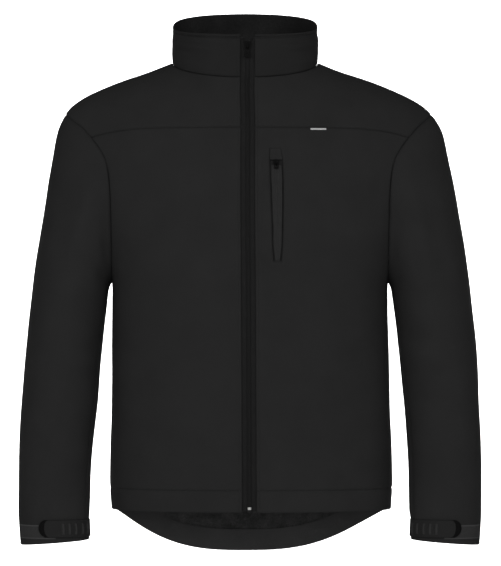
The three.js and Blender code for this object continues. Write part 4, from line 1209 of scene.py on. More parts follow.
def make_cuff(side, word):
    """Cuff strap with its grip ribs, and the pile strip that it closes on."""
    u = spread(0, STRAP_LONG, (0.5, 1.2, 2.2, 3.4), (0.4, 0.9, 1.6, 2.6, 4), 1.1) / STRAP_LONG
    v = spread(0, STRAP_HIGH, (0.5, 1.2, 2.2, 3.4), (0.5, 1.2, 2.2, 3.4), 1.3) / STRAP_HIGH
    base = cuff_band(-731, -704, -0.32, 1.98, 0.26, u, v) * (side, 1, 1)
    heart = np.array([side * 302, -25, -717])
    lift = GAP + 1.6 * np.clip((u - 0.42) / 0.25, 0, 1)
    tip = 1 - TIP_SHADOW_PART * (1 - 0.35 * np.abs(2 * v[:, None] - 1) ** 2)
    base = base + ways_out(base, heart) * (lift + 1.8)[None, :, None]

    def strap_detail(sides):
        edge = nearest_edge(sides)
        rim = groove(edge, 2.6, 0.6, 0.3) - 0.8 * fading(edge, 1.3)
        bow = 0.05 * (2 * v[:, None] - 1) ** 2
        ribs = sum(1.6 * np.exp(-((u[None, :] - rib - bow) / RIB_HALF) ** 4) for rib in RIBS)
        inside = ease(v, 0.12, 0.24) * (1 - ease(v, 0.72, 0.84))
        return rim + ribs * inside[:, None] - 1.2 * ease(u[None, :] - tip, -0.006, 0.006)

    skins = (grip_strap(), strap_tip_painted_shadow(), strap_ribs_painted_light())
    strap = panel(f"cuff_strap_{word}", base, heart, skins, (), None, 1.8, strap_detail)
    # Faces past the tip line take the near-black colour: painted shadow under the lifted tip
    painted_shadow_at_tip = (u[None, 1:] + u[None, :-1]) / 2 > (tip[1:] + tip[:-1]) / 2
    painted(strap, painted_shadow_at_tip.ravel(), 1)
    middle_u, middle_v = (u[None, 1:] + u[None, :-1]) / 2, (v[1:, None] + v[:-1, None]) / 2
    from_rib = np.min([np.abs(middle_u - rib - 0.05 * (2 * middle_v - 1) ** 2) for rib in RIBS], axis=0)
    # Faces on the ribs take the lighter colour: painted highlight on the ribs' crests
    painted(strap, ((from_rib < RIB_HALF) & (middle_v > 0.18) & (middle_v < 0.78)).ravel(), 2)
    dressed(strap, (f"cuff_tab_{word}",))
    across = spread(0, 60, (0.4, 1), (0.4, 1), 1.0) / 60
    tall = spread(0, PILE_HIGH, (0.4, SELVEDGE), (0.4, SELVEDGE), 1.0) / PILE_HIGH
    pile_base = cuff_band(-733.5, -712, 1.5, 2.84, 0, across, tall) * (side, 1, 1)
    pile_base = pile_base + ways_out(pile_base, heart) * GAP

    def pile_detail(sides):
        edge = nearest_edge(sides)
        tuft = 0.22 * np.sin(sides["left"] * 3.1) * np.sin(sides["low"] * 3.4 + 0.8)
        return tuft * ease(edge, 0.8, 2.0) - 0.5 * fading(edge, 1.0)

    skins = (loop_pile(), loop_pile(), selvedge())
    pile = panel(f"cuff_pile_{word}", pile_base, heart, skins, (), None, 1.0, pile_detail)
    by_edge = np.minimum(tall[1:], 1 - tall[:-1]) * PILE_HIGH <= SELVEDGE + 1e-6
    painted(pile, np.repeat(by_edge, len(across) - 1), 2)
    dressed(pile, (f"cuff_loop_{word}",))


def zip_line(low, high, step):
    """Line of the zip on the outer face of the cloth, with a stop at the neck seam."""
    neck_z = -NECK_DROP[-1] * math.sqrt(1 - (3.3 / NECK_HALF) ** 2)
    neck_y = float(body_at(-1, 3.3, neck_z)[1])
    turn_z = min(max(neck_z, low), high)
    stretches = [(a, b) for a, b in ((low, turn_z), (turn_z, high)) if b - a > step / 2]
    z = joined(*[np.linspace(a, b, max(2, round((b - a) / step) + 1)) for a, b in stretches])
    y = np.where(z < neck_z, body_at(-1, 0, z)[..., 1], mix(neck_y, -76, (z - neck_z) / (39.7 - neck_z)))
    return np.stack([along(ZIP, 1, z), y, z], axis=-1)


def zip_back(line):
    """Directions into the jacket along the zip."""
    up = np.gradient(line, axis=0)
    up /= np.linalg.norm(up, axis=-1, keepdims=True)
    back = np.stack([np.zeros(len(line)), up[:, 2], -up[:, 1]], -1)
    return back / np.linalg.norm(back, axis=-1, keepdims=True)


def zip_strip(line, across, depth):
    """Grid along the zip at distances from its middle, behind the cloth's face."""
    spots = line[:, None] + zip_back(line)[:, None] * depth
    spots = np.repeat(spots, np.shape(across)[-1], axis=1)
    spots[..., 0] += across
    return spots


def make_zip_tape(side, name):
    """Woven tape of the front zip, its ribs along it; above the slider the two part."""
    line = zip_line(TAPE_LOW, TAPE_TOP, 6)
    near = 0.3 + 6.4 * ease(line[:, 2], PARTING_Z - 6, TAPE_TOP)
    t = np.linspace(0, 1, 8 * sizes().tape_ribs + 1)
    across = side * mix(near[:, None], TAPE_REACH, t[None, :])
    base = zip_strip(line, across, TAPE_DEPTH)

    def detail(sides):
        ribs = 0.14 * np.cos(2 * np.pi * sizes().tape_ribs * t)[None, :]
        return ribs - 0.4 * fading(np.minimum(sides["left"], sides["right"]), 0.8)

    made = panel(name, base, ZIP_HEART, (zip_tape(), zip_tape()), (), None, TAPE_WALL, detail)
    return dressed(made, (name,))


def add_node(tree, kind, inputs=None, **settings):
    """Adds a node with its settings; an input is a value or another node's output."""
    made = tree.nodes.new(kind)
    for name, value in settings.items():
        setattr(made, name, value)
    for socket, value in (inputs or {}).items():
        if isinstance(value, bpy.types.NodeSocket):
            tree.links.new(value, made.inputs[socket])
        else:
            made.inputs[socket].default_value = value
    return made


def repeat_tree(title):
    """Geometry Nodes: small rounded bodies at even steps along lines, turned with them."""
    tree = bpy.data.node_groups.new(title, "GeometryNodeTree")
    tree.interface.new_socket("Lines", in_out="INPUT", socket_type="NodeSocketGeometry")
    for socket in ("Pitch", "Width", "Depth", "Length"):
        made = tree.interface.new_socket(socket, in_out="INPUT", socket_type="NodeSocketFloat")
        made.subtype = "DISTANCE"
    tree.interface.new_socket("Material", in_out="INPUT", socket_type="NodeSocketMaterial")
    tree.interface.new_socket("Result", in_out="OUTPUT", socket_type="NodeSocketGeometry")
    source = add_node(tree, "NodeGroupInput")
    curve = add_node(tree, "GeometryNodeMeshToCurve", {"Mesh": source.outputs["Lines"]})
    steps = add_node(tree, "GeometryNodeResampleCurve",
                     {"Curve": curve.outputs["Curve"], "Length": source.outputs["Pitch"]}, mode="LENGTH")
    ball = add_node(tree, "GeometryNodeMeshUVSphere", {"Segments": 6, "Rings": 4, "Radius": 0.5})
    size = add_node(tree, "ShaderNodeCombineXYZ", {
        "X": source.outputs["Width"], "Y": source.outputs["Depth"], "Z": source.outputs["Length"]})
    body = add_node(tree, "GeometryNodeTransform", {
        "Geometry": ball.outputs["Mesh"], "Scale": size.outputs[0]})
    way = add_node(tree, "GeometryNodeInputTangent")
    turned = add_node(tree, "FunctionNodeAlignRotationToVector", {"Vector": way.outputs[0]}, axis="Z")
    placed = add_node(tree, "GeometryNodeInstanceOnPoints", {
        "Points": steps.outputs[0], "Instance": body.outputs[0], "Rotation": turned.outputs[0]})
    real = add_node(tree, "GeometryNodeRealizeInstances", {"Geometry": placed.outputs[0]})
    painted = add_node(tree, "GeometryNodeSetMaterial", {
        "Geometry": real.outputs[0], "Material": source.outputs["Material"]})
    add_node(tree, "NodeGroupOutput", {"Result": painted.outputs[0]})
    return tree


def repeated(name, lines, material, pitch, width, depth, long):
    """Plain mesh of the bodies that the node tree sets along lines of points in millimetres."""
    mesh = bpy.data.meshes.new(name + "_lines")
    points, edges = [], []
    for line in lines:
        edges += [(len(points) + n, len(points) + n + 1) for n in range(len(line) - 1)]
        points += (leaned(line) * MM).tolist()
    mesh.from_pydata(points, edges, [])
    holder = linked(bpy.data.objects.new(name + "_lines", mesh))
    tree = repeat_tree(name)
    modifier = holder.modifiers.new("Repeat", "NODES")
    modifier.node_group = tree
    values = {"Pitch": pitch, "Width": width, "Depth": depth, "Length": long, "Material": material}
    for item in tree.interface.items_tree:
        if item.in_out == "INPUT" and item.name in values:
            modifier[item.identifier] = values[item.name]
    depsgraph = bpy.context.evaluated_depsgraph_get()
    result = bpy.data.meshes.new_from_object(holder.evaluated_get(depsgraph), depsgraph=depsgraph)
    result.name = name
    result.materials.clear()
    result.materials.append(material)
    result.polygons.foreach_set("material_index", [0] * len(result.polygons))
    result.shade_smooth()
    bpy.data.objects.remove(holder)
    return linked(bpy.data.objects.new(name, result))


def merged(name, objects):
    """One object of several, their meshes joined."""
    work = bmesh.new()
    materials = []
    for item in objects:
        start = len(work.faces)
        work.from_mesh(item.data)
        work.faces.ensure_lookup_table()
        shift = len(materials)
        for face in work.faces[start:]:
            face.material_index += shift
        materials += list(item.data.materials)
        bpy.data.objects.remove(item)
    mesh = bpy.data.meshes.new(name)
    work.to_mesh(mesh)
    work.free()
    for material in materials:
        mesh.materials.append(material)
    return linked(bpy.data.objects.new(name, mesh))


def make_zip_teeth():
    """Coil of the front zip: two rows of turns that meet in the middle, over the cord inside them."""
    line = zip_line(CHAIN_LOW, CHAIN_TOP, 6)
    across = np.linspace(-CHAIN_HALF + 0.25, CHAIN_HALF - 0.25, 7)[None, :]
    core_base = zip_strip(line, np.repeat(across, len(line), axis=0), 1.7)
    core = panel("zip_core", core_base, ZIP_HEART, (moulded(), moulded()), (), None, 1.2)
    back = zip_back(line)
    pitch = sizes().coil_pitch
    rows = []
    for n, x in enumerate((-1.55, 1.55)):
        row = line + back * 1.75 + np.array([x, 0, n * pitch / MM / 2])
        rows.append(row)
    top = zip_line(PARTING_Z + 1, TAPE_TOP - 1.5, 2)
    for sign in (-1, 1):
        reach = 1.7 + 6.4 * ease(top[:, 2], PARTING_Z - 6, TAPE_TOP)
        row = top + zip_back(top) * 2.2
        row[:, 0] += sign * reach
        rows.append(row)
    coil = repeated("zip_coil", rows, moulded(), pitch, 0.0031, 0.0021, 0.00118)
    made = merged("zip_teeth", [core, coil])
    return dressed(made, ("zip_chain",))


def bevelled(node, name, body, material, width=0.00025, band=None):
    """Copy of a hard CAD part with its edges rounded; a band is two heights and the material between them."""
    work = bmesh.new()
    work.from_mesh(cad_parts[node].data)
    bmesh.ops.remove_doubles(work, verts=work.verts, dist=1e-6)
    bmesh.ops.dissolve_limit(work, angle_limit=math.radians(1), verts=work.verts, edges=work.edges)
    sharp = [edge for edge in work.edges if edge.calc_face_angle(0) > math.radians(28)]
    bmesh.ops.bevel(
        work, geom=sharp, offset=width, segments=2, profile=0.6, affect="EDGES", clamp_overlap=True)
    if band:
        for height in band[:2]:
            whole = [*work.verts, *work.edges, *work.faces]
            bmesh.ops.bisect_plane(work, geom=whole, plane_co=(0, 0, height * MM), plane_no=(0, 0, 1))
        for face in work.faces:
            middle = face.calc_center_median().z / MM
            face.material_index = int(band[0] < middle < band[1])
    bmesh.ops.triangulate(work, faces=work.faces)
    mesh = bpy.data.meshes.new(name)
    work.to_mesh(mesh)
    work.free()
    mesh.materials.append(material)
    if band:
        mesh.materials.append(band[2])
    mesh.shade_smooth()
    mesh.set_sharp_from_angle(angle=math.radians(40))
    made = linked(bpy.data.objects.new(name, mesh))
    return dressed(made, (node,), body)


def window_middle(z):
    return (along(WINDOW, WINDOW_LEFT, z) + along(WINDOW, WINDOW_RIGHT, z)) / 2


# Lower edge of the pocket's garage and the lowest place of the hollow under it
MOUTH_Z = -153.5
HOLLOW_Z = -160.5

# Distance from a pocket tape's outer edge at which its facing starts; the darker bare tape nearer the edge is
# also painted shade in the groove there
FACED_FROM = 6.9


def pocket_strip(z, start, end, parts, depth):
    """Grid behind the pocket window between two edges."""
    x = mix(start[:, None], end[:, None], parts[None, :])
    spots = body_at(-1, x, np.broadcast_to(z[:, None], x.shape))
    return spots - ways_out(spots, np.array(BODY_HEART)) * depth


def make_pocket():
    """Tapes, coil and garage of the chest pocket's zip."""
    z = np.linspace(-312, -131, 90)
    parts = np.linspace(0, 1, 41)
    slit = mix(0.05, 1.5, np.clip((z + 166) / 6, 0, 1))
    middle = window_middle(z)
    edges = {
        "inner": (along(WINDOW, WINDOW_LEFT, z) - 4.5, middle - slit),
        "outer": (middle + slit, along(WINDOW, WINDOW_RIGHT, z) + 4.5),
    }
    for word, (start, end) in edges.items():
        base = pocket_strip(z, start, end, parts, POCKET_DEPTH)
        edge = "left" if word == "inner" else "right"

        def detail(sides, edge=edge):
            ribs = 0.13 * np.cos(2 * np.pi * 4 * parts)[None, :]
            flush = 1.7 * ease(sides[edge], 6.0, 7.4) * ease(-z, -HOLLOW_Z - 1, -HOLLOW_Z + 1.5)[:, None]
            return ribs + flush * ease(z, WINDOW_LOW, WINDOW_LOW + 4)[:, None]

        skins = (pocket_tape(), zip_tape())
        made = panel(f"pocket_tape_{word}", base, BODY_HEART, skins, (), None, TAPE_WALL, detail)
        across = runs(base, 1)
        reach = across if edge == "left" else across[:, -1:] - across
        swell = 0.45 * np.sin(z / 5.3 + 1.2 * np.sin(z / 17))[1:, None]
        # Darker zip tape on the bare strip by the window's edges and on all the tape above HOLLOW_Z: the bare
        # tape's own colour, plus painted shade in the edge grooves and in the hollow under the garage's mouth
        bare_and_shaded = (reach[1:, 1:] + reach[:-1, :-1]) / 2 < FACED_FROM + swell
        painted(made, (bare_and_shaded | (z[1:, None] > HOLLOW_Z)).ravel(), 1)
        dressed(made, (f"pocket_tape_{word}",))
    low = np.linspace(-312, -166, 50)
    half = np.full(len(low), 2.0)
    depth = POCKET_DEPTH + TAPE_WALL + GAP + 0.2
    middle = window_middle(low)
    core_base = pocket_strip(low, middle - half, middle + half, np.linspace(0, 1, 5), depth)
    core = panel("pocket_core", core_base, BODY_HEART, (moulded(), moulded()), (), None, 0.9)
    rows = [core_base[:, 1] - (0, -0.45, 0), core_base[:, 3] - (0, -0.45, 0)]
    coil = repeated("pocket_coil", rows, moulded(), sizes().coil_pitch, 0.0023, 0.0013, 0.0011)
    dressed(merged("pocket_teeth", [core, coil]), ("pocket_chain",))
    rise = spread(MOUTH_Z, WINDOW_TOP - GAP, (0.5, 1.2), (0.5,), 1.2)
    parts = spread(0, 18, (0.5, 1.2, 2.2), (0.5, 1.2, 2.2), 1.2) / 18
    start, end = along(WINDOW, WINDOW_LEFT, rise) + 0.3, along(WINDOW, WINDOW_RIGHT, rise) - 0.3
    cover = pocket_strip(rise, start, end, parts, 0.1)

    def cover_detail(sides):
        return 1.1 * (1 - ease(sides["low"], 1, 9)) - 0.6 * fading(sides["low"], 0.9)

    skins = (softshell(), softshell())
    garage = panel("pocket_garage", cover, BODY_HEART, skins, (), None, 1.4, cover_detail)
    dressed(garage, ("pocket_garage",))


def make_label():
    """Bare woven tab that hangs from the yoke seam."""
    z = spread(-107.7, -105.2, (0.3, 0.7), (0.3,), 0.5)
    x = spread(92.5, 116.5, (0.3, 0.8), (0.3, 0.8), 0.9)
    spots = body_at(-1, x[None, :], z[:, None])
    base = spots + ways_out(spots, np.array(BODY_HEART)) * (GAP + 1)

    def detail(sides):
        return -0.35 * fading(nearest_edge(sides, ("left", "right", "low")), 0.8)

    made = panel("label_tab", base, BODY_HEART, (woven_label(), woven_label()), (), None, 0.9, detail)
    return dressed(made, ("label_tab",))


def line_in(name, side, distance, start=0.0, end=1.0):
    """Line on a panel's face at a distance in from one of its sides, raised by half a thread."""
    points, ways = FACES[name]
    if side in ("left", "right"):
        points, ways = points.transpose(1, 0, 2), ways.transpose(1, 0, 2)
    if side in ("right", "top"):
        points, ways = points[::-1], ways[::-1]
    run = runs(points, 0)
    count = points.shape[1]
    picked = range(round(start * (count - 1)), round(end * (count - 1)) + 1)
    line = []
    for column in picked:
        row = min(int(np.searchsorted(run[:, column], distance)), len(run) - 1)
        t = (distance - run[row - 1, column]) / (run[row, column] - run[row - 1, column])
        line.append(mix(points[row - 1, column], points[row, column], t) + ways[row, column] * 0.12)
    return np.array(line)


def on_front(x, z):
    """Line on the left front's face through places (x, z), raised by half a thread."""
    spots = body_at(-1, np.asarray(x, float), np.asarray(z, float))
    out = spots * (0.3, 1, 0)
    out /= np.linalg.norm(out, axis=-1, keepdims=True)
    return spots + out * 0.15


def make_stitching():
    """All the topstitching, along the finished panels' own faces."""
    lines = []
    for word in ("left", "right"):
        lines.append(line_in(f"front_{word}", "left", ZIP_STITCH))
        lines.append(line_in(f"yoke_{word}", "left", ZIP_STITCH, 0, 0.33))
        lines.append(line_in(f"yoke_{word}", "low", 2.6, 0.03))
        lines.append(line_in(f"front_{word}", "low", HEM_HIGH, 0.05))
        for side in ("low", "top"):
            lines.append(line_in(f"cuff_strap_{word}", side, 2.6, 0.03, 0.92))
        lines.append(line_in(f"cuff_strap_{word}", "left", 2.6, 0.1, 0.9))
    lines.append(line_in("back", "low", HEM_HIGH))
    lines.append(line_in("collar", "top", 4.6, 0.02, 0.98))
    lines.append(line_in("collar", "left", ZIP_STITCH, 0.04, 0.93))
    lines.append(line_in("collar", "right", ZIP_STITCH, 0.04, 0.93))
    box = POCKET_STITCH
    rise = np.linspace(box["low"], box["top"], 60)
    span = np.linspace(box["left"], box["right"], 14)
    lines += [on_front(np.full(60, box[word]), rise) for word in ("left", "right")]
    lines += [on_front(span, np.full(14, box[word])) for word in ("low", "top")]
    made = repeated("stitching", lines, sewing_thread(), sizes().stitch_pitch, sizes().thread, sizes().thread,
                    sizes().stitch_long)
    return dressed(made, ())


def new_material(name):
    """Material with its shader, and the outputs of its texture coordinates."""
    material = bpy.data.materials.new(name)
    material.use_nodes = True
    tree = material.node_tree
    tree.nodes.clear()
    shader = add_node(tree, "ShaderNodeBsdfPrincipled")
    add_node(tree, "ShaderNodeOutputMaterial", {"Surface": shader.outputs[0]})
    place = add_node(tree, "ShaderNodeTexCoord")
    return material, tree, shader, place


def tinted(tree, shader, base, factor, low, high):
    """Base colour between two shades of one colour, by a pattern."""
    shades = add_node(tree, "ShaderNodeMix", {
        "Factor": factor,
        "A": (*[channel * low for channel in base], 1),
        "B": (*[min(channel * high, 1) for channel in base], 1),
    }, data_type="RGBA")
    tree.links.new(shades.outputs["Result"], shader.inputs["Base Color"])


def bumped(tree, shader, height, distance, strength, under=None):
    """Fine relief on the surface, on top of another one if there is one."""
    inputs = {"Height": height, "Distance": distance, "Strength": strength}
    if under is not None:
        inputs["Normal"] = under
    bump = add_node(tree, "ShaderNodeBump", inputs)
    tree.links.new(bump.outputs[0], shader.inputs["Normal"])
    return bump.outputs[0]


def bands(tree, place, spacing, direction, **inputs):
    """Soft bands at a spacing in metres on the piece's own UV."""
    scale = 2 * math.pi / 20 / spacing
    made = add_node(tree, "ShaderNodeTexWave", {"Vector": place.outputs["UV"], "Scale": scale, **inputs},
                    bands_direction=direction)
    return made.outputs["Fac"]


def noise(tree, place, scale, detail, **inputs):
    """Cloudy pattern in the piece's own coordinates."""
    made = add_node(tree, "ShaderNodeTexNoise", {
        "Vector": place.outputs["Object"], "Scale": scale, "Detail": detail, **inputs})
    return made.outputs["Fac"]


def together(tree, operation, first, second):
    return add_node(tree, "ShaderNodeMath", {0: first, 1: second}, operation=operation).outputs[0]


def worn(tree, shader, pattern, low, high):
    """Roughness between two values, by a pattern."""
    rough = add_node(tree, "ShaderNodeMapRange", {"Value": pattern, "To Min": low, "To Max": high})
    tree.links.new(rough.outputs[0], shader.inputs["Roughness"])


def finished(shader, **values):
    """Sets constants on the shader's own sockets."""
    names = {"rough": "Roughness", "gloss": "Specular IOR Level", "metal": "Metallic"}
    for name, value in values.items():
        shader.inputs[names[name]].default_value = value


def once(make):
    """Keeps the first material that a function makes, for all the pieces that share it."""
    kept = {}

    def shared():
        if "material" not in kept:
            kept["material"] = make()
        return kept["material"]

    return shared


def softshell_face(name, base):
    """Softshell face: matt polyester, its weave of 0.4 mm drawn at 1.1 mm so that it shows at all."""
    material, tree, shader, place = new_material(name)
    warp = bands(tree, place, 0.0011, "X", Distortion=0.6, Detail=1.0)
    weft = bands(tree, place, 0.0011, "Y", Distortion=0.6, Detail=1.0)
    weave = together(tree, "MULTIPLY", warp, weft)
    cloud = noise(tree, place, 22.0, 4.0, Roughness=0.62)
    speck = noise(tree, place, 620.0, 2.0, Roughness=0.7)
    half = together(tree, "MULTIPLY", together(tree, "ADD", cloud, speck), 0.5)
    tinted(tree, shader, base, half, 0.6, 1.4)
    worn(tree, shader, cloud, 0.86, 0.96)
    finished(shader, gloss=0.08)
    soft = bumped(tree, shader, speck, 0.00025, 0.35)
    bumped(tree, shader, weave, 0.00012, 0.4, soft)
    return material


@once
def softshell():
    return softshell_face("softshell cloth", colours().cloth)


@once
def collar_cloth_painted_shade():
    """The same softshell at 0.8 of its colour: painted shade that darkens the whole collar."""
    return softshell_face("softshell cloth of the collar with painted shade", [channel * 0.8 for channel in colours().cloth])


@once
def hem_facing_painted_light():
    """Inside of the turned-up hem: the same softshell, lighter than the fleece beside it as painted light
    where the tail's inside lies in shade.
    """
    return softshell_face("softshell hem facing with painted light", colours().facing)


def fleece_face(name, base, nap_scale):
    """Brushed fleece: short dense pile in tufts of about 1.5 mm, its nap lying this way and that."""
    material, tree, shader, place = new_material(name)
    tuft = noise(tree, place, 380.0, 3.0, Roughness=0.75)
    nap = noise(tree, place, nap_scale, 2.0)
    tinted(tree, shader, base, together(tree, "MULTIPLY", tuft, nap), 0.2, 3.2)
    finished(shader, rough=0.98, gloss=0.06)
    bumped(tree, shader, tuft, 0.0008, 0.8)
    return material


# The fleece's colour is lightened beyond its own tone as painted light for the shaded inside of the tail
@once
def fleece():
    return fleece_face("brushed fleece", colours().fleece, 60.0)


@once
def collar_fleece():
    """The collar's own lining fleece, darker, with wide patches of lying nap."""
    return fleece_face("brushed fleece of the collar", colours().lining, 16.0)


def woven_tape(name, base, wear_scale, low, relief):
    """Woven polyester tape: fine cross threads of 0.8 mm over its ribs."""
    material, tree, shader, place = new_material(name)
    threads = bands(tree, place, 0.0008, "Y", Distortion=0.8, Detail=1.0)
    tinted(tree, shader, base, noise(tree, place, wear_scale, 3.0), low, 1.3)
    finished(shader, rough=0.85, gloss=0.12)
    bumped(tree, shader, threads, 0.0002, relief)
    return material


@once
def zip_tape():
    return woven_tape("woven zip tape", colours().tape, 90.0, 0.75, 0.5)


@once
def pocket_tape():
    """Tape of the pocket's zip, faced with the jacket's own matt film."""
    return woven_tape("faced pocket tape", colours().cloth, 120.0, 0.8, 0.4)


@once
def moulded():
    """Nylon coil: half matt, with the faint bloom of drawn plastic."""
    material, tree, shader, place = new_material("nylon coil")
    bloom = noise(tree, place, 160.0, 2.0)
    tinted(tree, shader, colours().teeth, bloom, 0.8, 1.25)
    worn(tree, shader, bloom, 0.6, 0.74)
    finished(shader, gloss=0.05)
    return material


@once
def lacquered():
    """Black lacquer baked on cast zinc: smooth and satin, with a faint orange peel."""
    material, tree, shader, place = new_material("black lacquered zinc")
    flow = noise(tree, place, 420.0, 2.0)
    tinted(tree, shader, colours().lacquer, flow, 0.8, 1.3)
    worn(tree, shader, flow, 0.5, 0.62)
    finished(shader, gloss=0.04)
    bumped(tree, shader, flow, 0.00005, 0.2)
    return material


def grained(name, base, scale, detail, shades, relief=None, **finish):
    """Plain material with one fine grain in its colour and, where it has relief, on its surface."""
    material, tree, shader, place = new_material(name)
    grain = noise(tree, place, scale, detail)
    tinted(tree, shader, base, grain, *shades)
    finished(shader, **finish)
    if relief:
        bumped(tree, shader, grain, *relief)
    return material


@once
def plated():
    """Plated band of the zip's end box: brushed nickel that catches the light."""
    return grained("brushed nickel plate", linear("#7c7c7a"), 900.0, 2.0, (0.8, 1.1), (0.00004, 0.2),
                   metal=0.85, rough=0.35)


@once
def grip_strap():
    """Cuff strap: matt rubbery coating on cloth, with a fine grain of 0.7 mm."""
    return grained("coated strap", colours().strap, 700.0, 2.0, (0.8, 1.25), (0.00015, 0.4),
                   rough=0.85, gloss=0.15)


def moulded_rubber(name, base):
    """Moulded rubber: matt, with the fine grain of its mould."""
    return grained(name, base, 900.0, 2.0, (0.8, 1.2), (0.0001, 0.3), rough=0.8, gloss=0.05)


# Near-black rubber tip: painted shadow under the strap's lifted end
@once
def strap_tip_painted_shadow():
    return moulded_rubber("rubber strap tip with painted shadow", colours().tip)


# Lighter rubber on the ribs: painted highlight on their raised crests
@once
def strap_ribs_painted_light():
    return moulded_rubber("rubber ribs with painted highlight", colours().ribs)


@once
def sewing_thread():
    """Polyester thread: twisted and a little shinier than the cloth."""
    return grained("polyester thread", colours().thread, 1200.0, 1.0, (0.8, 1.25), rough=0.75, gloss=0.15)


@once
def paper():
    """Pale seamless paper of the studio."""
    return grained("seamless paper", linear("#f6f6f6"), 40.0, 3.0, (0.99, 1.0), rough=0.95)


@once
def loop_pile():
    """Looped side of a touch fastener: a bed of tiny nylon loops about 0.6 mm apart."""
    material, tree, shader, place = new_material("looped pile")
    loops = add_node(tree, "ShaderNodeTexVoronoi", {"Vector": place.outputs["Object"], "Scale": 1400.0})
    tinted(tree, shader, colours().loop, loops.outputs["Distance"], 0.7, 1.6)
    finished(shader, rough=0.9, gloss=0.15)
    bumped(tree, shader, loops.outputs["Distance"], 0.0004, 0.7)
    return material


@once
def selvedge():
    """Woven selvedge of the loop strip: flat and tight, so a little lighter than the pile."""
    material, tree, shader, place = new_material("woven selvedge")
    threads = bands(tree, place, 0.0009, "X", Distortion=0.5)
    tinted(tree, shader, colours().loop, threads, 1.5, 2.3)
    finished(shader, rough=0.8, gloss=0.15)
    bumped(tree, shader, threads, 0.0002, 0.4)
    return material


@once
def woven_label():
    """Satin-woven label tape, with ribs of 0.7 mm along it and nothing on it."""
    material, tree, shader, place = new_material("woven label tape")
    ribs = bands(tree, place, 0.0007, "Y", Distortion=0.3)
    tinted(tree, shader, colours().label, noise(tree, place, 300.0, 2.0), 0.85, 1.1)
    finished(shader, rough=0.6)
    bumped(tree, shader, ribs, 0.00015, 0.5)
    return material


# Studio, in metres: camera level with the jacket's middle, far enough away for the photograph's perspective
CAMERA_FAR = 6.0
CAMERA_X = 0.0008
CAMERA_Z = -0.341
VIEW_TALL = 0.877
SENSOR = 36.0
FLOOR_Z = -1.1
BACKDROP_Y = 11.0
BACKDROP_HIGH = 4.5
BACKDROP_WIDE = 22.0
BACKDROP_NEAR = -9.0
BEND = 1.2
WORLD_STRENGTH = 0.17
LIGHTS = (
    ("key", (-2.4, -4.1, 1.6), 3.0, 116),
    ("fill", (2.7, -4.1, 1.3), 3.0, 90),
    ("low", (0.0, -4.5, -0.5), 1.2, 32),
    ("paper", (0.0, 6.4, 3.8), 3.4, 1200),
)


def make_backdrop():
    """Floor and wall of one sheet of paper with a soft bend between them."""
    bend = [(BACKDROP_Y - BEND + BEND * math.sin(a), FLOOR_Z + BEND - BEND * math.cos(a))
            for a in np.linspace(0, math.pi / 2, 24)]
    profile = [(BACKDROP_NEAR, FLOOR_Z), *bend, (BACKDROP_Y, FLOOR_Z + BACKDROP_HIGH)]
    points = [(x, y, z) for y, z in profile for x in (-BACKDROP_WIDE / 2, BACKDROP_WIDE / 2)]
    faces = [(2 * n, 2 * n + 1, 2 * n + 3, 2 * n + 2) for n in range(len(profile) - 1)]
    mesh = bpy.data.meshes.new("backdrop")
    mesh.from_pydata(points, [], faces)
    mesh.materials.append(paper())
    mesh.shade_smooth()
    made = linked(bpy.data.objects.new("backdrop", mesh))


def make_light(name, place, size, power):
    """Soft square light that looks at the jacket's middle."""
    data = bpy.data.lights.new(name, "AREA")
    data.size = size
    data.energy = power
    made = linked(bpy.data.objects.new(name, data))
    made.location = place
    target = Vector((0, BACKDROP_Y, -0.5)) if name == "paper" else Vector((0, 0, CAMERA_Z))
    made.rotation_euler = (target - Vector(place)).to_track_quat("-Z", "Y").to_euler()


def make_camera():
    data = bpy.data.cameras.new("camera")
    data.sensor_width = SENSOR
    data.lens = SENSOR * CAMERA_FAR / VIEW_TALL
    data.clip_end = 100
    made = linked(bpy.data.objects.new("camera", data))
    made.location = (CAMERA_X, -CAMERA_FAR, CAMERA_Z)
    made.rotation_euler = (math.pi / 2, 0, 0)
    bpy.context.scene.camera = made


def make_world():
    world = bpy.data.worlds.new("studio")
    world.use_nodes = True
    background = world.node_tree.nodes["Background"]
    background.inputs["Color"].default_value = (1, 1, 1, 1)
    background.inputs["Strength"].default_value = WORLD_STRENGTH
    bpy.context.scene.world = world
    bpy.context.scene.view_settings.view_transform = "Standard"


class JACKET_OT_studio(bpy.types.Operator):
    """Pale seamless paper, soft lights and the camera at the photograph's place"""

    bl_idname = "jacket.studio"
    bl_label = "Studio"

    def execute(self, context):
        make_camera()
        make_world()
        make_backdrop()
        for light in LIGHTS:
            make_light(*light)
        return {"FINISHED"}


class JACKET_OT_fronts(bpy.types.Operator):
    """Both fronts under the yoke seam, the left one with the pocket's window"""

    bl_idname = "jacket.fronts"
    bl_label = "Fronts"

    def execute(self, context):
        make_front(1, "front_left")
        make_front(-1, "front_right")
        return {"FINISHED"}


class JACKET_OT_yokes(bpy.types.Operator):
    """Both front yokes"""

    bl_idname = "jacket.yokes"
    bl_label = "Yokes"

    def execute(self, context):
        make_yoke(1, "yoke_left")
        make_yoke(-1, "yoke_right")
        return {"FINISHED"}


class JACKET_OT_back(bpy.types.Operator):
    """Back with its rounded tail and the turned-up hem inside it"""

    bl_idname = "jacket.back"
    bl_label = "Back and tail"

    def execute(self, context):
        make_back()
        make_tail_facing()
        return {"FINISHED"}


class JACKET_OT_collar(bpy.types.Operator):
    """Stand-up collar and its lining"""

    bl_idname = "jacket.collar"
    bl_label = "Collar"

    def execute(self, context):
        make_collar()
        return {"FINISHED"}


class JACKET_OT_sleeves(bpy.types.Operator):
    """Both sleeves"""

    bl_idname = "jacket.sleeves"
    bl_label = "Sleeves"

    def execute(self, context):
        make_sleeve(1, "sleeve_left")
        make_sleeve(-1, "sleeve_right")
        return {"FINISHED"}


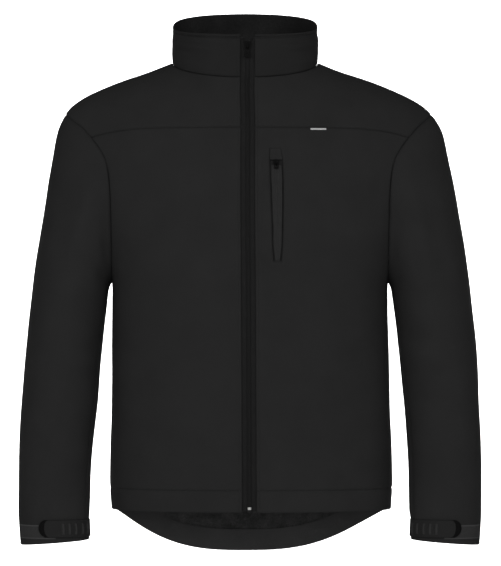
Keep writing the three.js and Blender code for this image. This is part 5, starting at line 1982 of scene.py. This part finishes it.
class JACKET_OT_cuffs(bpy.types.Operator):
    """Cuff straps and the pile strips that they close on"""

    bl_idname = "jacket.cuffs"
    bl_label = "Cuff straps"

    def execute(self, context):
        make_cuff(1, "left")
        make_cuff(-1, "right")
        return {"FINISHED"}


class JACKET_OT_front_zip(bpy.types.Operator):
    """Tapes, coil, end box, slider and pull of the front zip"""

    bl_idname = "jacket.front_zip"
    bl_label = "Front zip"

    def execute(self, context):
        make_zip_tape(1, "zip_tape_left")
        make_zip_tape(-1, "zip_tape_right")
        make_zip_teeth()
        bevelled("zip_box", "zip_end_box", "jacket", moulded(), band=(*PLATED, plated()))
        bevelled("zip_slider", "zip_slider_body", "jacket", lacquered())
        bevelled("zip_pull", "zip_pull_frame", "front_pull", lacquered())
        return {"FINISHED"}


class JACKET_OT_chest_pocket(bpy.types.Operator):
    """Tapes, coil, garage, slider and pull of the chest pocket's zip"""

    bl_idname = "jacket.chest_pocket"
    bl_label = "Chest pocket"

    def execute(self, context):
        make_pocket()
        bevelled("pocket_slider", "pocket_slider_body", "jacket", lacquered(), 0.0002)
        bevelled("pocket_pull", "pocket_pull_frame", "chest_pull", lacquered(), 0.0002)
        return {"FINISHED"}


class JACKET_OT_label(bpy.types.Operator):
    """Bare label tab on the yoke seam"""

    bl_idname = "jacket.label"
    bl_label = "Label tab"

    def execute(self, context):
        make_label()
        return {"FINISHED"}


class JACKET_OT_stitching(bpy.types.Operator):
    """Topstitching on the finished panels"""

    bl_idname = "jacket.stitching"
    bl_label = "Stitching"

    def execute(self, context):
        make_stitching()
        return {"FINISHED"}


# Operators in the order in which they build the scene
STEPS = (
    JACKET_OT_studio,
    JACKET_OT_fronts,
    JACKET_OT_yokes,
    JACKET_OT_back,
    JACKET_OT_collar,
    JACKET_OT_sleeves,
    JACKET_OT_cuffs,
    JACKET_OT_front_zip,
    JACKET_OT_chest_pocket,
    JACKET_OT_label,
    JACKET_OT_stitching,
)


class JACKET_PT_panel(bpy.types.Panel):
    """Sizes, colours and building steps of the jacket"""

    bl_idname = "JACKET_PT_panel"
    bl_label = "Softshell Jacket"
    bl_space_type = "VIEW_3D"
    bl_region_type = "UI"
    bl_category = "Jacket"

    def draw(self, context):
        for group in (sizes(), colours()):
            box = self.layout.box()
            for name in group.bl_rna.properties.keys():
                if name not in {"rna_type", "name"}:
                    box.prop(group, name)
        for step in STEPS:
            self.layout.operator(step.bl_idname)


CLASSES = (JacketSizes, JacketColours, *STEPS, JACKET_PT_panel)


def register():
    for item in CLASSES:
        bpy.utils.register_class(item)
    bpy.types.Scene.jacket_sizes = PointerProperty(type=JacketSizes)
    bpy.types.Scene.jacket_colours = PointerProperty(type=JacketColours)


def unregister():
    del bpy.types.Scene.jacket_colours
    del bpy.types.Scene.jacket_sizes
    for item in reversed(CLASSES):
        bpy.utils.unregister_class(item)


def main():
    register()
    bpy.ops.jacket.studio()
    bpy.ops.jacket.fronts()
    bpy.ops.jacket.yokes()
    bpy.ops.jacket.back()
    bpy.ops.jacket.collar()
    bpy.ops.jacket.sleeves()
    bpy.ops.jacket.cuffs()
    bpy.ops.jacket.front_zip()
    bpy.ops.jacket.chest_pocket()
    bpy.ops.jacket.label()
    bpy.ops.jacket.stitching()


if __name__ == "__main__":
    main()
